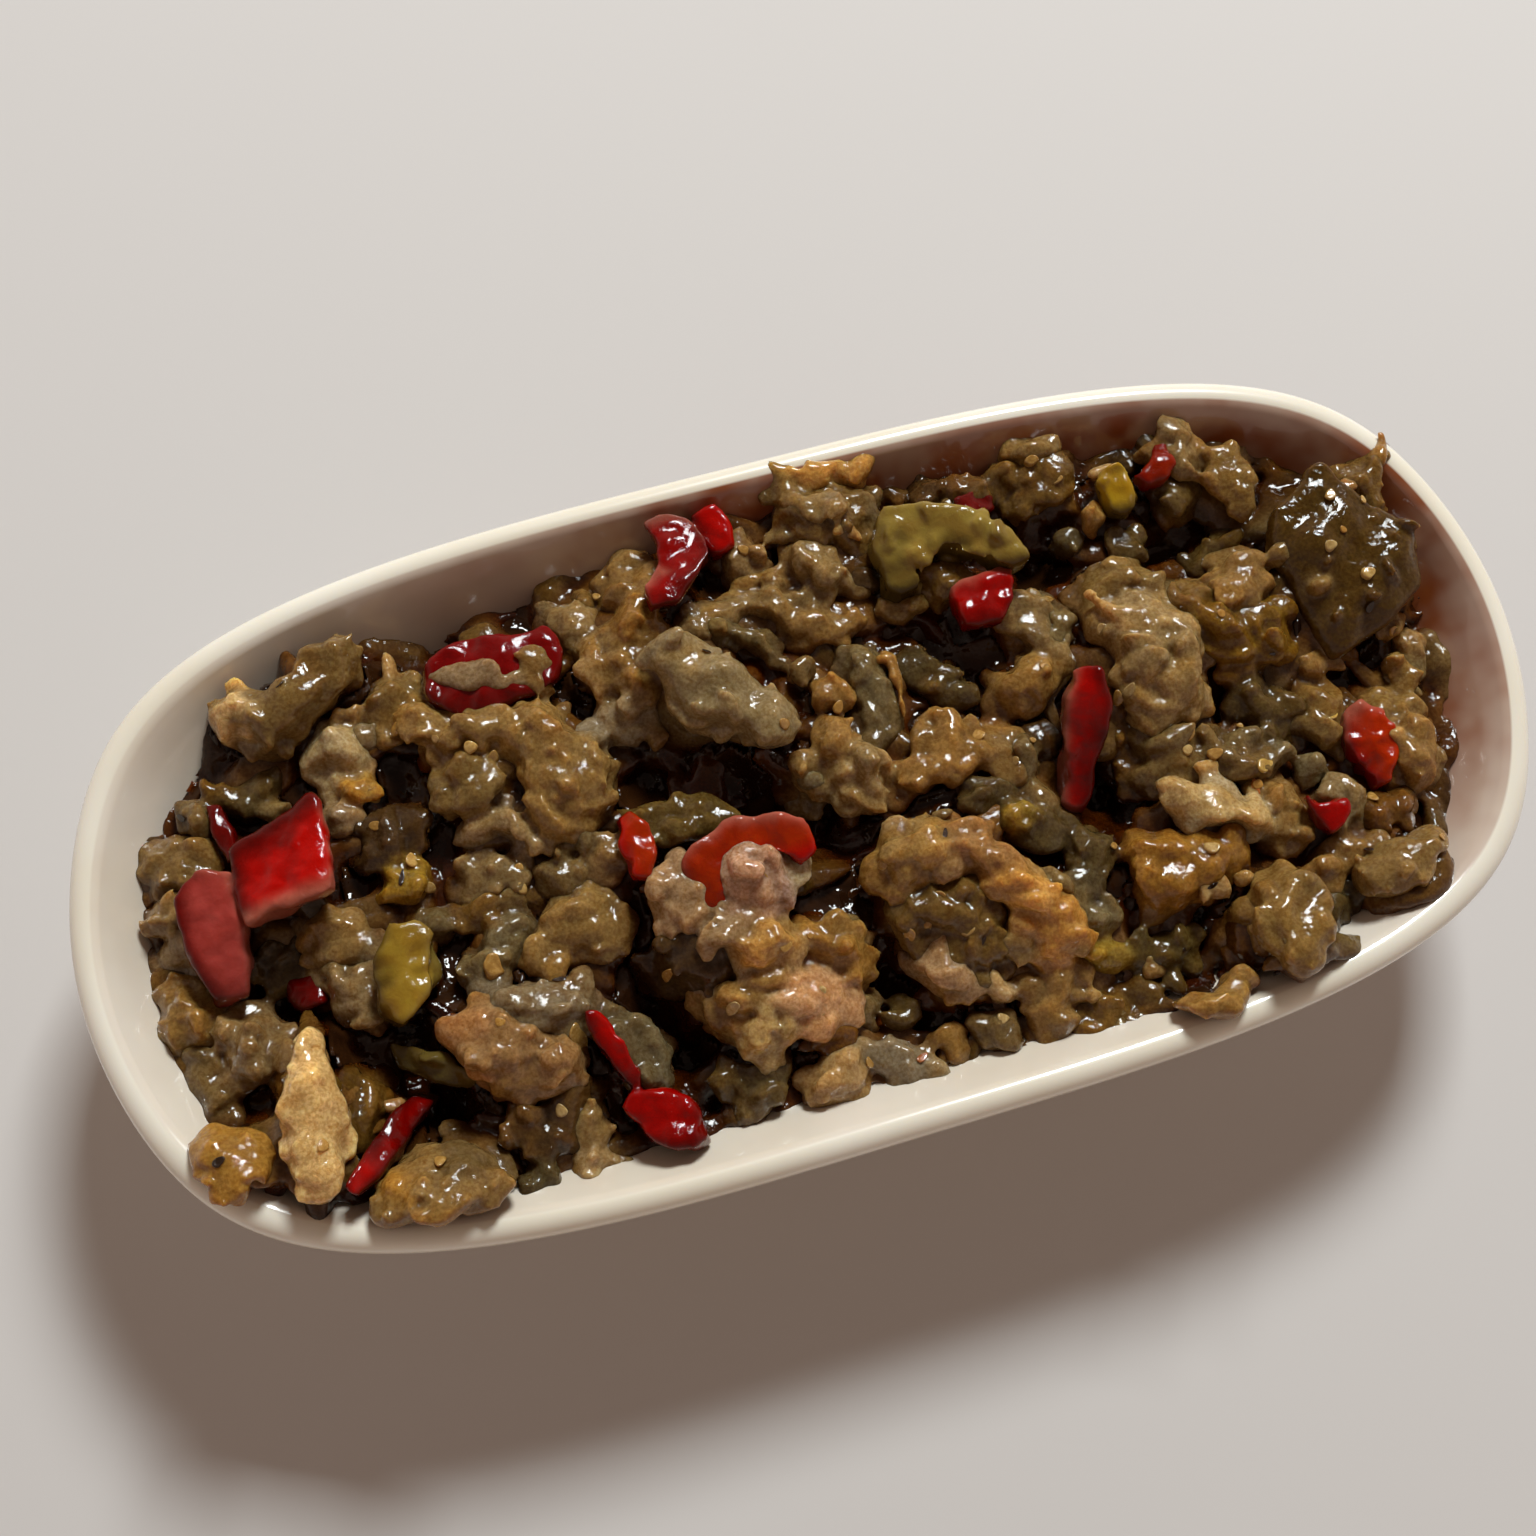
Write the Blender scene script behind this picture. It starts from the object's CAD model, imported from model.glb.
import math

import bmesh
import bpy
import numpy as np
from mathutils import Matrix, Vector, kdtree
from mathutils.bvhtree import BVHTree


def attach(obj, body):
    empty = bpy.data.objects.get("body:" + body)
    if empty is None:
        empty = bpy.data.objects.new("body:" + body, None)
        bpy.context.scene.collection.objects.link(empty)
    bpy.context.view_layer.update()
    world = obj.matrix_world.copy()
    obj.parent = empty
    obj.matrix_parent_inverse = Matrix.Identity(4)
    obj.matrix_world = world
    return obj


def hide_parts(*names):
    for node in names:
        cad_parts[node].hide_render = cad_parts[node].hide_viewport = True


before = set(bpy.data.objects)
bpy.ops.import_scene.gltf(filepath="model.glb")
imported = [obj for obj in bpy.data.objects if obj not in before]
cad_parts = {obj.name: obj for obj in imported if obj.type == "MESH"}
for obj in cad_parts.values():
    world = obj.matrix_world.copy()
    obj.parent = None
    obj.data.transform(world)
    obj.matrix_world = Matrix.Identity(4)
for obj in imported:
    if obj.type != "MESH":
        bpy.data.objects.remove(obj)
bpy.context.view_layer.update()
mm = 0.001
fineness = 1.0
print("frame loaded,", len(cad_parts), "nodes")


# ---------- view ----------

view = {
    "location": (-0.042884, -0.056718, 0.291144),
    "aim": (-0.006521, 0.004769, 0.0318),
    "roll": 14.5,  # degrees
    "lens": 46.875,
}


def placeCamera():
    location, aim = Vector(view["location"]), Vector(view["aim"])
    back = (location - aim).normalized()
    right = Vector((0, 0, 1)).cross(back).normalized()
    up = back.cross(right)
    turn = math.radians(view["roll"])
    across = right * math.cos(turn) + up * math.sin(turn)
    upward = up * math.cos(turn) - right * math.sin(turn)
    camera = bpy.data.cameras.new("camera")
    camera.lens = view["lens"]
    camera.sensor_width = 36
    camera.clip_start = 0.01
    holder = bpy.data.objects.new("camera", camera)
    holder.matrix_world = Matrix((across, upward, back)).transposed().to_4x4()
    holder.location = location
    bpy.context.scene.collection.objects.link(holder)
    bpy.context.scene.camera = holder


placeCamera()
print("camera placed")


# ---------- studio ----------

studio = {
    "keyFrom": (0.485, 0.938, 1.067),  # a soft light beyond the far side, off to the right
    "keySize": (0.36, 0.32),
    "keyPower": 22.3,
    "keyColour": (0.94, 1.0, 1.0),
    "overhead": (0.12, 0.088, 0.068),  # the room is dim overhead and brighter low down
    "lowDown": (0.61, 0.465, 0.39),
    "floorColour": (0.66, 0.635, 0.62),
}


def lightRoom():
    lamp = bpy.data.lights.new("softLight", "AREA")
    lamp.shape = "RECTANGLE"
    lamp.size, lamp.size_y = studio["keySize"]
    lamp.energy = studio["keyPower"]
    lamp.color = studio["keyColour"]
    holder = bpy.data.objects.new("softLight", lamp)
    place = Vector(studio["keyFrom"])
    holder.location = place
    holder.rotation_euler = place.to_track_quat("Z", "Y").to_euler()
    bpy.context.scene.collection.objects.link(holder)
    world = bpy.data.worlds.new("surround")
    world.use_nodes = True
    nodes, links = world.node_tree.nodes, world.node_tree.links
    height = nodes.new("ShaderNodeSeparateXYZ")
    links.new(nodes.new("ShaderNodeTexCoord").outputs["Generated"], height.inputs[0])
    rise = nodes.new("ShaderNodeMapRange")
    links.new(height.outputs["Z"], rise.inputs["Value"])
    rise.inputs["From Min"].default_value, rise.inputs["From Max"].default_value = 0.0, 0.95
    sky = nodes.new("ShaderNodeMix")
    sky.data_type = "RGBA"
    sockets = {socket.identifier: socket for socket in sky.inputs}
    links.new(rise.outputs[0], sockets["Factor_Float"])
    sockets["A_Color"].default_value = (*studio["lowDown"], 1)
    sockets["B_Color"].default_value = (*studio["overhead"], 1)
    links.new({socket.identifier: socket for socket in sky.outputs}["Result_Color"], nodes["Background"].inputs["Color"])
    nodes["Background"].inputs["Strength"].default_value = 1.0
    bpy.context.scene.world = world
    bpy.context.scene.view_settings.view_transform = "Standard"


def layFloor():
    mesh = bpy.data.meshes.new("floor")
    half = 1.5
    mesh.from_pydata([(-half, -half, 0), (half, -half, 0), (half, half, 0), (-half, half, 0)], [], [(0, 1, 2, 3)])
    floor = bpy.data.objects.new("floor", mesh)
    floor.location.z = -0.0003
    bpy.context.scene.collection.objects.link(floor)
    material = bpy.data.materials.new("paleFloor")
    material.use_nodes = True
    shader = material.node_tree.nodes["Principled BSDF"]
    shader.inputs["Base Color"].default_value = (*studio["floorColour"], 1)
    shader.inputs["Roughness"].default_value = 0.85
    mesh.materials.append(material)


lightRoom()
layFloor()
print("studio lit")


# ---------- dish ----------

dish = {
    "length": 200.0,
    "width": 95.5,
    "squareness": 4.1,
    "swell": (0.0232, 0.0066, -0.0022),
    "rimRadius": 2.2,
    "rimLevel": 31.8,
    "wall": 3.6,
    "lean": math.radians(36),
    "fillet": 22.0,
    "floor": 5.2,
    "footInset": 23.5,
    "footWidth": 4.2,
    "footEdge": 0.9,
    "around": 288,
}


def ovalHalves(inset):
    s = dish["swell"]
    return dish["length"] / 2 / (1 + s[0] + s[1] + s[2]) - inset, dish["width"] / 2 / (1 + s[0] - s[1] + s[2]) - inset


def oval(inset, angle):
    # points on the dish's oval moved in by inset, for arrays of either
    halfLength, halfWidth = ovalHalves(inset)
    heading = np.arctan2(halfWidth * np.sin(angle), halfLength * np.cos(angle))
    n = dish["squareness"]
    radius = ((np.abs(np.cos(heading)) / halfLength) ** n + (np.abs(np.sin(heading)) / halfWidth) ** n) ** (-1 / n)
    radius = radius * (1 + sum(s * np.cos((4 + 2 * k) * angle) for k, s in enumerate(dish["swell"])))
    return radius * np.cos(heading), radius * np.sin(heading)


def filletCentre():
    r, lean = dish["rimRadius"], dish["lean"]
    height = dish["floor"] + dish["fillet"]
    startHeight = height - dish["fillet"] * math.sin(lean)
    drop = dish["rimLevel"] + r * math.sin(lean) - startHeight
    startInset = r * (1 + math.cos(lean)) + drop * math.tan(lean)
    return startInset + dish["fillet"] * math.cos(lean), height


def wallProfile(depth, top, steps):
    # (inset, height) from top down to the floor, along a face lying depth under the inner one
    centreInset, centreHeight = filletCentre()
    lean, radius = dish["lean"], dish["fillet"] + depth
    turns = np.linspace(lean, math.pi / 2, steps)
    arc = [(centreInset - radius * math.cos(t), centreHeight - radius * math.sin(t)) for t in turns]
    startInset, startHeight = arc[0]
    straight = [(startInset - (h - startHeight) * math.tan(lean), h) for h in np.linspace(top, startHeight, 8)[:-1]]
    return straight + arc


def underside(inset):
    centreInset, centreHeight = filletCentre()
    return centreHeight - math.sqrt((dish["fillet"] + dish["wall"]) ** 2 - (centreInset - inset) ** 2)


def dishProfile():
    r, lean, level = dish["rimRadius"], dish["lean"], dish["rimLevel"]
    inside = wallProfile(0, level + r * math.sin(lean), 26)[::-1]
    roll = [(r * (1 + math.cos(t)), level + r * math.sin(t)) for t in np.linspace(lean, math.pi + math.radians(50), 26)]
    outside = wallProfile(dish["wall"], level - 2 * r, 22)
    a, b, e = dish["footInset"], dish["footInset"] + dish["footWidth"], dish["footEdge"]
    bend = np.linspace(0, math.pi / 2, 5)
    foot = [(a - 0.8, underside(a - 0.8) - 0.05), (a, underside(a) - 0.8)]
    foot += [(a + e * (1 - math.cos(t)), e * (1 - math.sin(t))) for t in bend]
    foot += [(b - e * (1 - math.sin(t)), e * (1 - math.cos(t))) for t in bend]
    foot += [(b, underside(b) - 0.8), (b + 0.8, underside(b + 0.8) - 0.05)]
    above = [p for p in outside if p[0] < a - 1.6]
    within = [p for p in outside if p[0] > b + 1.6]
    return inside[:-1] + roll + above + foot + within


def makeMesh(name, verts, faces, smooth=True):
    mesh = bpy.data.meshes.new(name)
    mesh.from_pydata((np.asarray(verts) * mm).tolist(), [], faces if isinstance(faces, list) else faces.tolist())
    if smooth:
        mesh.shade_smooth()
    obj = bpy.data.objects.new(name, mesh)
    bpy.context.scene.collection.objects.link(obj)
    return obj


def throwDish():
    angles = 2 * math.pi * (np.arange(dish["around"]) + 0.5) / dish["around"]
    profile = dishProfile()
    rings = []
    for inset, height in profile:
        x, y = oval(inset, angles)
        rings.append(np.stack([x, y, np.full_like(x, height)], 1))
    verts = np.concatenate(rings)
    n = dish["around"]
    faces = []
    for ring in range(len(profile) - 1):
        for k in range(n):
            after = (k + 1) % n
            faces.append((ring * n + after, ring * n + k, (ring + 1) * n + k, (ring + 1) * n + after))
    first, last = len(verts), len(verts) + 1
    verts = np.concatenate([verts, [(0, 0, profile[0][1]), (0, 0, profile[-1][1])]])
    final = (len(profile) - 1) * n
    for k in range(n):
        after = (k + 1) % n
        faces.append((first, k, after))
        faces.append((last, final + after, final + k))
    obj = makeMesh("glazedDish", verts, faces)
    bm = bmesh.new()
    bm.from_mesh(obj.data)
    if bm.calc_volume(signed=True) < 0:
        bmesh.ops.reverse_faces(bm, faces=bm.faces)
    bm.to_mesh(obj.data)
    bm.free()
    return obj


glazedDish = throwDish()
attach(glazedDish, "root")
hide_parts("dish")
print("dish thrown")


# ---------- ground that the food lies on ----------

def insetOf(x, y):
    low, high = np.full(x.shape, -60.0), np.full(x.shape, ovalHalves(1.0)[1])
    for _ in range(24):
        inset = (low + high) / 2
        halfLength, halfWidth = ovalHalves(inset)
        edgeX, edgeY = oval(inset, np.arctan2(y / halfWidth, x / halfLength))
        inside = np.hypot(x, y) < np.hypot(edgeX, edgeY)
        low, high = np.where(inside, inset, low), np.where(inside, high, inset)
    return low


def wallHeights(x, y):
    # height of the dish's inner face, or of its rim, under each point
    inset = insetOf(x, y)
    r, lean, level = dish["rimRadius"], dish["lean"], dish["rimLevel"]
    centreInset, centreHeight = filletCentre()
    tangent = r * (1 + math.cos(lean))
    rim = level + np.sqrt(np.clip(r * r - (inset - r) ** 2, 0, None))
    straight = level + r * math.sin(lean) - (inset - tangent) / math.tan(lean)
    beside = np.clip(centreInset - inset, 0, dish["fillet"])
    curve = centreHeight - np.sqrt(dish["fillet"] ** 2 - beside**2)
    height = np.where(inset < tangent, rim, np.where(inset < centreInset - dish["fillet"] * math.cos(lean), straight, curve))
    return np.where(inset < 0, 0.0, height), inset


class Field:
    # a smooth surface of heights over the dish, read between the points of a grid
    def __init__(self, step, values):
        self.step, self.values = step, values

    def at(self, x, y):
        rows, columns = self.values.shape
        u = np.clip((np.asarray(x, float) + 104) / self.step, 0, columns - 1.001)
        v = np.clip((np.asarray(y, float) + 52) / self.step, 0, rows - 1.001)
        i, j = v.astype(int), u.astype(int)
        a, b = v - i, u - j
        g = self.values
        return (g[i, j] * (1 - b) + g[i, j + 1] * b) * (1 - a) + (g[i + 1, j] * (1 - b) + g[i + 1, j + 1] * b) * a


def gridPoints(step):
    return np.meshgrid(np.arange(-104, 104.01, step), np.arange(-52, 52.01, step))


def blurred(values, sigma):
    reach = int(3 * sigma) + 1
    weights = np.exp(-0.5 * (np.arange(-reach, reach + 1) / sigma) ** 2)
    weights /= weights.sum()
    padded = np.pad(values, reach, mode="edge")
    padded = np.apply_along_axis(lambda row: np.convolve(row, weights, "valid"), 1, padded)
    return np.apply_along_axis(lambda column: np.convolve(column, weights, "valid"), 0, padded)


def heapHeights(step):
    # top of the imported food, seen from above
    verts, faces = [], []
    for name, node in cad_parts.items():
        if name != "dish":
            offset = len(verts)
            verts += [v.co / mm for v in node.data.vertices]
            faces += [[offset + k for k in face.vertices] for face in node.data.polygons]
    tree = BVHTree.FromPolygons(verts, faces)
    gx, gy = gridPoints(step)
    heights = np.full(gx.shape, np.nan)
    down = Vector((0, 0, -1))
    for i in range(gx.shape[0]):
        for j in range(gx.shape[1]):
            hit = tree.ray_cast(Vector((gx[i, j], gy[i, j], 80.0)), down)[0]
            if hit is not None:
                heights[i, j] = hit.z
    known = ~np.isnan(heights)
    cover = known.astype(float)
    filled = np.where(known, heights, 0.0)
    for _ in range(40):  # carries the edge's height outwards past the wall
        weight = blurred(known.astype(float), 1.0)
        spread = blurred(filled * known, 1.0) / np.maximum(weight, 1e-6)
        grown = (weight > 0.02) & ~known
        filled = np.where(grown, spread, filled)
        known = known | grown
    return filled, cover


wallStep, heapStep = 0.5, 1.5
gx, gy = gridPoints(wallStep)
wallField, insetField = (Field(wallStep, one) for one in wallHeights(gx, gy))
heapTop, heapCover = heapHeights(heapStep)
heap, cover = Field(heapStep, blurred(heapTop, 1.3)), Field(heapStep, blurred(heapCover, 0.7))
print("heap measured")


def heapSlope(x, y, reach=3.0):
    east = (heap.at(x + reach, y) - heap.at(x - reach, y)) / (2 * reach)
    north = (heap.at(x, y + reach) - heap.at(x, y - reach)) / (2 * reach)
    return float(east), float(north)


# ---------- shapes of soft food ----------

def unitSphere(level):
    bm = bmesh.new()
    bmesh.ops.create_icosphere(bm, subdivisions=level, radius=1.0)
    verts = np.array([v.co for v in bm.verts])
    faces = np.array([[v.index for v in f.verts] for f in bm.faces])
    bm.free()
    return verts, faces


coarseBall, mediumBall, fineBall = unitSphere(2), unitSphere(3), unitSphere(4)


def wander(points, rng, wavelength, amount):
    # smooth random drift made of a few slow waves
    waves = rng.normal(size=(7, 3))
    waves *= (2 * math.pi / wavelength * rng.uniform(0.6, 1.5, 7) / np.linalg.norm(waves, axis=1))[:, None]
    push = rng.normal(size=(7, 3)) * amount / 2.6
    return np.sin(points @ waves.T + rng.uniform(0, 2 * math.pi, 7)) @ push


def tiltedUp(points, x, y, slope, follow=0.8):
    # lays points given about the origin onto the heap's slope at a place
    east, north = slope
    points = points.copy()
    points[:, 2] += follow * (east * points[:, 0] + north * points[:, 1])
    points[:, 0] += x
    points[:, 1] += y
    return points


def lump(rng, x, y, rise, length, width, thick, yaw=0.0, blunt=2.4, curve=0.0, taper=1.0, tilt=(0, 0), rough=1.0):
    # a rounded soft lump whose top stands at rise above the heap
    ball, faces = mediumBall if max(length, width) < 7 else fineBall
    size = np.array([length, width, thick]) / 2
    points = ball / (np.abs(ball) ** blunt).sum(1, keepdims=True) ** (1 / blunt)
    u = points[:, 0].copy()
    points = points * size
    points[:, 1] *= 1 + (taper - 1) * u / 2
    points[:, 1] += curve * (u * u - 0.4)
    small = min(length, width, thick)
    points += wander(points, rng, 0.9 * max(length, width), 0.09 * rough * small)
    points += wander(points, rng, 0.45 * max(width, thick) + 1.0, 0.055 * rough * small)
    a = math.radians(yaw)
    points[:, :2] = points[:, :2] @ np.array([[math.cos(a), math.sin(a)], [-math.sin(a), math.cos(a)]])
    points[:, 2] += tilt[0] * points[:, 0] + tilt[1] * points[:, 1]
    points = tiltedUp(points, x, y, heapSlope(x, y))
    points[:, 2] += float(heap.at(x, y)) + rise - thick / 2
    return points, faces


def closedCurve(corners, count, crisp=0.0):
    # a closed line through the corners, smooth or with straighter sides
    p = np.asarray(corners, float)
    n = len(p)
    t = np.linspace(0, n, count, endpoint=False)
    k = t.astype(int)
    s = (t - k)[:, None]
    p0, p1, p2, p3 = p[(k - 1) % n], p[k % n], p[(k + 1) % n], p[(k + 2) % n]
    bent = 0.5 * (2 * p1 + (p2 - p0) * s + (2 * p0 - 5 * p1 + 4 * p2 - p3) * s**2 + (3 * p1 - p0 - 3 * p2 + p3) * s**3)
    return bent * (1 - crisp) + (p1 + (p2 - p1) * s) * crisp


def pillowFaces(rings, around):
    faces = []
    for r in range(rings - 1):
        for k in range(around):
            after = (k + 1) % around
            a, b, c, d = r * around + k, r * around + after, (r + 1) * around + after, (r + 1) * around + k
            faces += [(a, d, c), (a, c, b)]
    top, bottom = rings * around, rings * around + 1
    for k in range(around):
        after = (k + 1) % around
        faces += [(top, k, after), (bottom, (rings - 1) * around + after, (rings - 1) * around + k)]
    return np.array(faces)


pillowRings, pillowAround = 17, 56
pillowMesh = pillowFaces(pillowRings, pillowAround)


def pillow(rng, corners, rise, thick, blunt=2.6, tilt=(0, 0), rough=1.0, crisp=0.0):
    # a soft slab with the given outline seen from above
    edge = closedCurve(corners, pillowAround, crisp)
    if np.sum(edge[:, 0] * np.roll(edge[:, 1], -1) - np.roll(edge[:, 0], -1) * edge[:, 1]) < 0:
        edge = edge[::-1]
    x, y = edge.mean(0)
    edge = edge - (x, y)
    size = math.sqrt(np.abs(edge[:, 0]).max() * np.abs(edge[:, 1]).max())
    turns = np.linspace(0, math.pi, pillowRings + 2)[1:-1]
    reach = np.sin(turns) ** (2 / blunt)
    level = np.sign(np.cos(turns)) * np.abs(np.cos(turns)) ** (2 / blunt)
    rings = [np.column_stack([edge * r, np.full(pillowAround, h * thick / 2)]) for r, h in zip(reach, level)]
    points = np.concatenate(rings + [[(0, 0, thick / 2)], [(0, 0, -thick / 2)]])
    points += wander(points, rng, 1.1 * size + 2, 0.10 * rough * min(thick, size))
    points += wander(points, rng, 0.5 * size + 1, 0.07 * rough * min(thick, size))
    points[:, 2] += tilt[0] * points[:, 0] + tilt[1] * points[:, 1]
    points = tiltedUp(points, x, y, heapSlope(x, y))
    points[:, 2] += float(heap.at(x, y)) + rise - thick / 2
    return points, pillowMesh


def onSurface(rng, points, faces, count, upOnly=-0.2):
    # random places on a shape and the way out of it there
    a, b, c = points[faces[:, 0]], points[faces[:, 1]], points[faces[:, 2]]
    normal = np.cross(b - a, c - a)
    area = np.linalg.norm(normal, axis=1) + 1e-9
    normal = normal / area[:, None]
    weight = area * (normal[:, 2] > upOnly)
    if weight.sum() <= 0:
        return np.zeros((0, 3)), np.zeros((0, 3))
    pick = rng.choice(len(faces), count, p=weight / weight.sum())
    u, v = rng.random(count), rng.random(count)
    flip = u + v > 1
    u[flip], v[flip] = 1 - u[flip], 1 - v[flip]
    place = a[pick] + (b - a)[pick] * u[:, None] + (c - a)[pick] * v[:, None]
    return place, normal[pick]


def topArea(points, faces):
    a, b, c = points[faces[:, 0]], points[faces[:, 1]], points[faces[:, 2]]
    normal = np.cross(b - a, c - a) / 2
    return np.linalg.norm(normal[normal[:, 2] > 0], axis=1).sum()


def smallLump(rng, place, outward, size, stretch=1.6, stand=0.3):
    # a little nodule half sunk in a surface
    ball, faces = coarseBall
    half = size / 2 * np.array([rng.uniform(0.9, stretch), rng.uniform(0.8, 1.1), rng.uniform(0.6, 1.0)])
    points = ball * half + wander(ball, rng, 1.8, 0.12 * size)
    turn = Matrix.Rotation(rng.uniform(0, 2 * math.pi), 3, "Z")
    turn = Vector((0, 0, 1)).rotation_difference(Vector(outward)).to_matrix() @ turn
    return points @ np.array(turn).T + place + outward * size * stand, faces


def strand(rng, place, outward, heading, length, width):
    # a soft fibre of flesh lying along a surface
    ball, faces = coarseBall
    ball = ball / (np.abs(ball) ** 2.6).sum(1, keepdims=True) ** (1 / 2.6)
    u = ball[:, 0]
    points = ball * (length / 2, width / 2, width * rng.uniform(0.36, 0.52))
    points[:, 1] *= 1 + rng.uniform(-0.25, 0.25) * u
    points[:, 1] += rng.uniform(-0.20, 0.20) * length * (u * u - 0.35)
    points[:, 2] -= rng.uniform(0.05, 0.20) * length * u * u
    points += wander(points, rng, 2.8, 0.14 * width)
    out = Vector(outward)
    along = Vector((math.cos(heading), math.sin(heading), 0))
    along = (along - out * along.dot(out)).normalized()
    turn = np.array((along, out.cross(along), out))
    return points @ turn + place + outward * width * rng.uniform(-0.20, 0.10), faces


def longWay(points):
    # heading of a shape's long direction seen from above, in radians
    flat = points[:, :2] - points[:, :2].mean(0)
    values, vectors = np.linalg.eigh(flat.T @ flat)
    return math.atan2(vectors[1, 1], vectors[0, 1])


def sliver(rng, place, outward, length, width, thick):
    # a thin pointed shred that sticks out of a surface
    ball, faces = coarseBall
    u = ball[:, 0]
    points = ball * (length / 2, width / 2, thick / 2)
    points[:, 1] *= 1 - 0.35 * u
    points[:, 2] *= 1 - 0.35 * u
    points[:, 2] += rng.uniform(-0.4, 0.8) * (u * u - 0.3)
    points += wander(points, rng, 2.2, 0.12)
    side = Vector(outward).orthogonal().normalized()
    side.rotate(Matrix.Rotation(rng.uniform(0, 2 * math.pi), 3, Vector(outward)))
    along = (side * rng.uniform(0.5, 1.0) + Vector(outward) * rng.uniform(0.1, 0.8)).normalized()
    turn = Vector((1, 0, 0)).rotation_difference(along).to_matrix()
    spin = Matrix.Rotation(rng.uniform(0, 2 * math.pi), 3, "X")
    return points @ np.array(turn @ spin).T + place + np.array(along) * length * 0.25, faces


# ---------- tones, as seen in daylight (0 to 255) ----------

tones = {
    "pale": (164, 132, 90),
    "paleWhite": (166, 146, 116),
    "tan": (136, 104, 62),
    "tanOlive": (134, 106, 66),
    "tanGrey": (130, 106, 74),
    "greyTan": (134, 108, 76),
    "grey": (112, 90, 62),
    "greyDark": (84, 68, 46),
    "greyWhite": (140, 120, 94),
    "clearGrey": (108, 92, 70),
    "clearOlive": (92, 74, 44),
    "olive": (96, 70, 34),
    "oliveTan": (126, 98, 58),
    "oliveDark": (74, 56, 30),
    "oliveBrown": (104, 78, 44),
    "brown": (98, 68, 38),
    "brownDark": (70, 48, 30),
    "brownPink": (110, 86, 56),
    "brownAmber": (106, 78, 42),
    "brownOlive": (82, 56, 22),
    "oliveAmber": (112, 80, 28),
    "amberClear": (146, 121, 82),
    "flushed": (168, 132, 112),
    "amberDeep": (138, 99, 44),
    "greyPale": (128, 108, 84),
    "palest": (198, 170, 130),
    "amberBright": (180, 136, 76),
    "amber": (146, 112, 62),
    "amberPale": (152, 123, 80),
    "amberBrown": (132, 100, 58),
    "amberDark": (84, 52, 22),
    "golden": (162, 120, 54),
    "pink": (148, 110, 70),
    "palePink": (162, 129, 96),
    "pinkGrey": (142, 117, 90),
    "pinkTan": (136, 106, 66),
    "salmon": (172, 126, 84),
    "salmonDeep": (190, 144, 104),
    "yellowOlive": (138, 110, 42),
    "bedDark": (42, 20, 8),
}


def linear(colour):
    c = np.asarray(colour, float) / 255
    return np.where(c <= 0.04045, c / 12.92, ((c + 0.055) / 1.055) ** 2.4)


class Pile:
    # gathers shapes of one kind, each with its own tone, to be fused into one piece
    def __init__(self):
        self.points, self.faces, self.colours, self.count = [], [], [], 0

    def add(self, shape, colour):
        points, faces = shape
        self.points.append(points)
        self.faces.append(faces + self.count)
        self.colours.append(np.tile(colour, (len(points), 1)) if np.ndim(colour) == 1 else colour)
        self.count += len(points)

    def arrays(self):
        return np.concatenate(self.points), np.concatenate(self.faces), np.concatenate(self.colours)


def varied(rng, tone, spread=0.10):
    colour = linear(tones[tone])
    colour = colour * (1.0, 0.96, 0.64 + 0.24 * min(max((colour[1] - 0.07) / 0.10, 0), 1)) * rng.uniform(1 - spread, 1 + spread)
    return shifted(rng, colour)


def shifted(rng, colour, amount=0.05):
    # a little warmer or greyer than its neighbours
    warmth = rng.normal(0, amount)
    return colour * np.clip((1 + warmth, 1, 1 - 2.4 * warmth), 0.5, 1.6)


def keepOffWall(points, clear=0.15):
    # anything below the dish's inner face is laid on it
    wall = wallField.at(points[:, 0], points[:, 1]) + clear
    inside = insetField.at(points[:, 0], points[:, 1]) > -0.5
    points[:, 2] = np.where(inside, np.maximum(points[:, 2], wall), points[:, 2])
    return points


reliefs = {}


def addRelief(obj, label, scale, height, kind="SOFT_NOISE"):
    if label not in reliefs:
        texture = bpy.data.textures.new(label, "CLOUDS")
        texture.noise_scale = scale * mm
        texture.noise_depth = 1
        texture.noise_type = kind
        texture.noise_basis = "IMPROVED_PERLIN"
        reliefs[label] = texture
    modifier = obj.modifiers.new(label, "DISPLACE")
    modifier.texture = reliefs[label]
    modifier.texture_coords = "GLOBAL"
    modifier.strength = height * mm
    modifier.mid_level = 0.5 if kind == "SOFT_NOISE" else 0.25


def softened(obj, rounds):
    modifier = obj.modifiers.new("soften", "SMOOTH")
    modifier.factor = 0.5
    modifier.iterations = rounds


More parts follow.
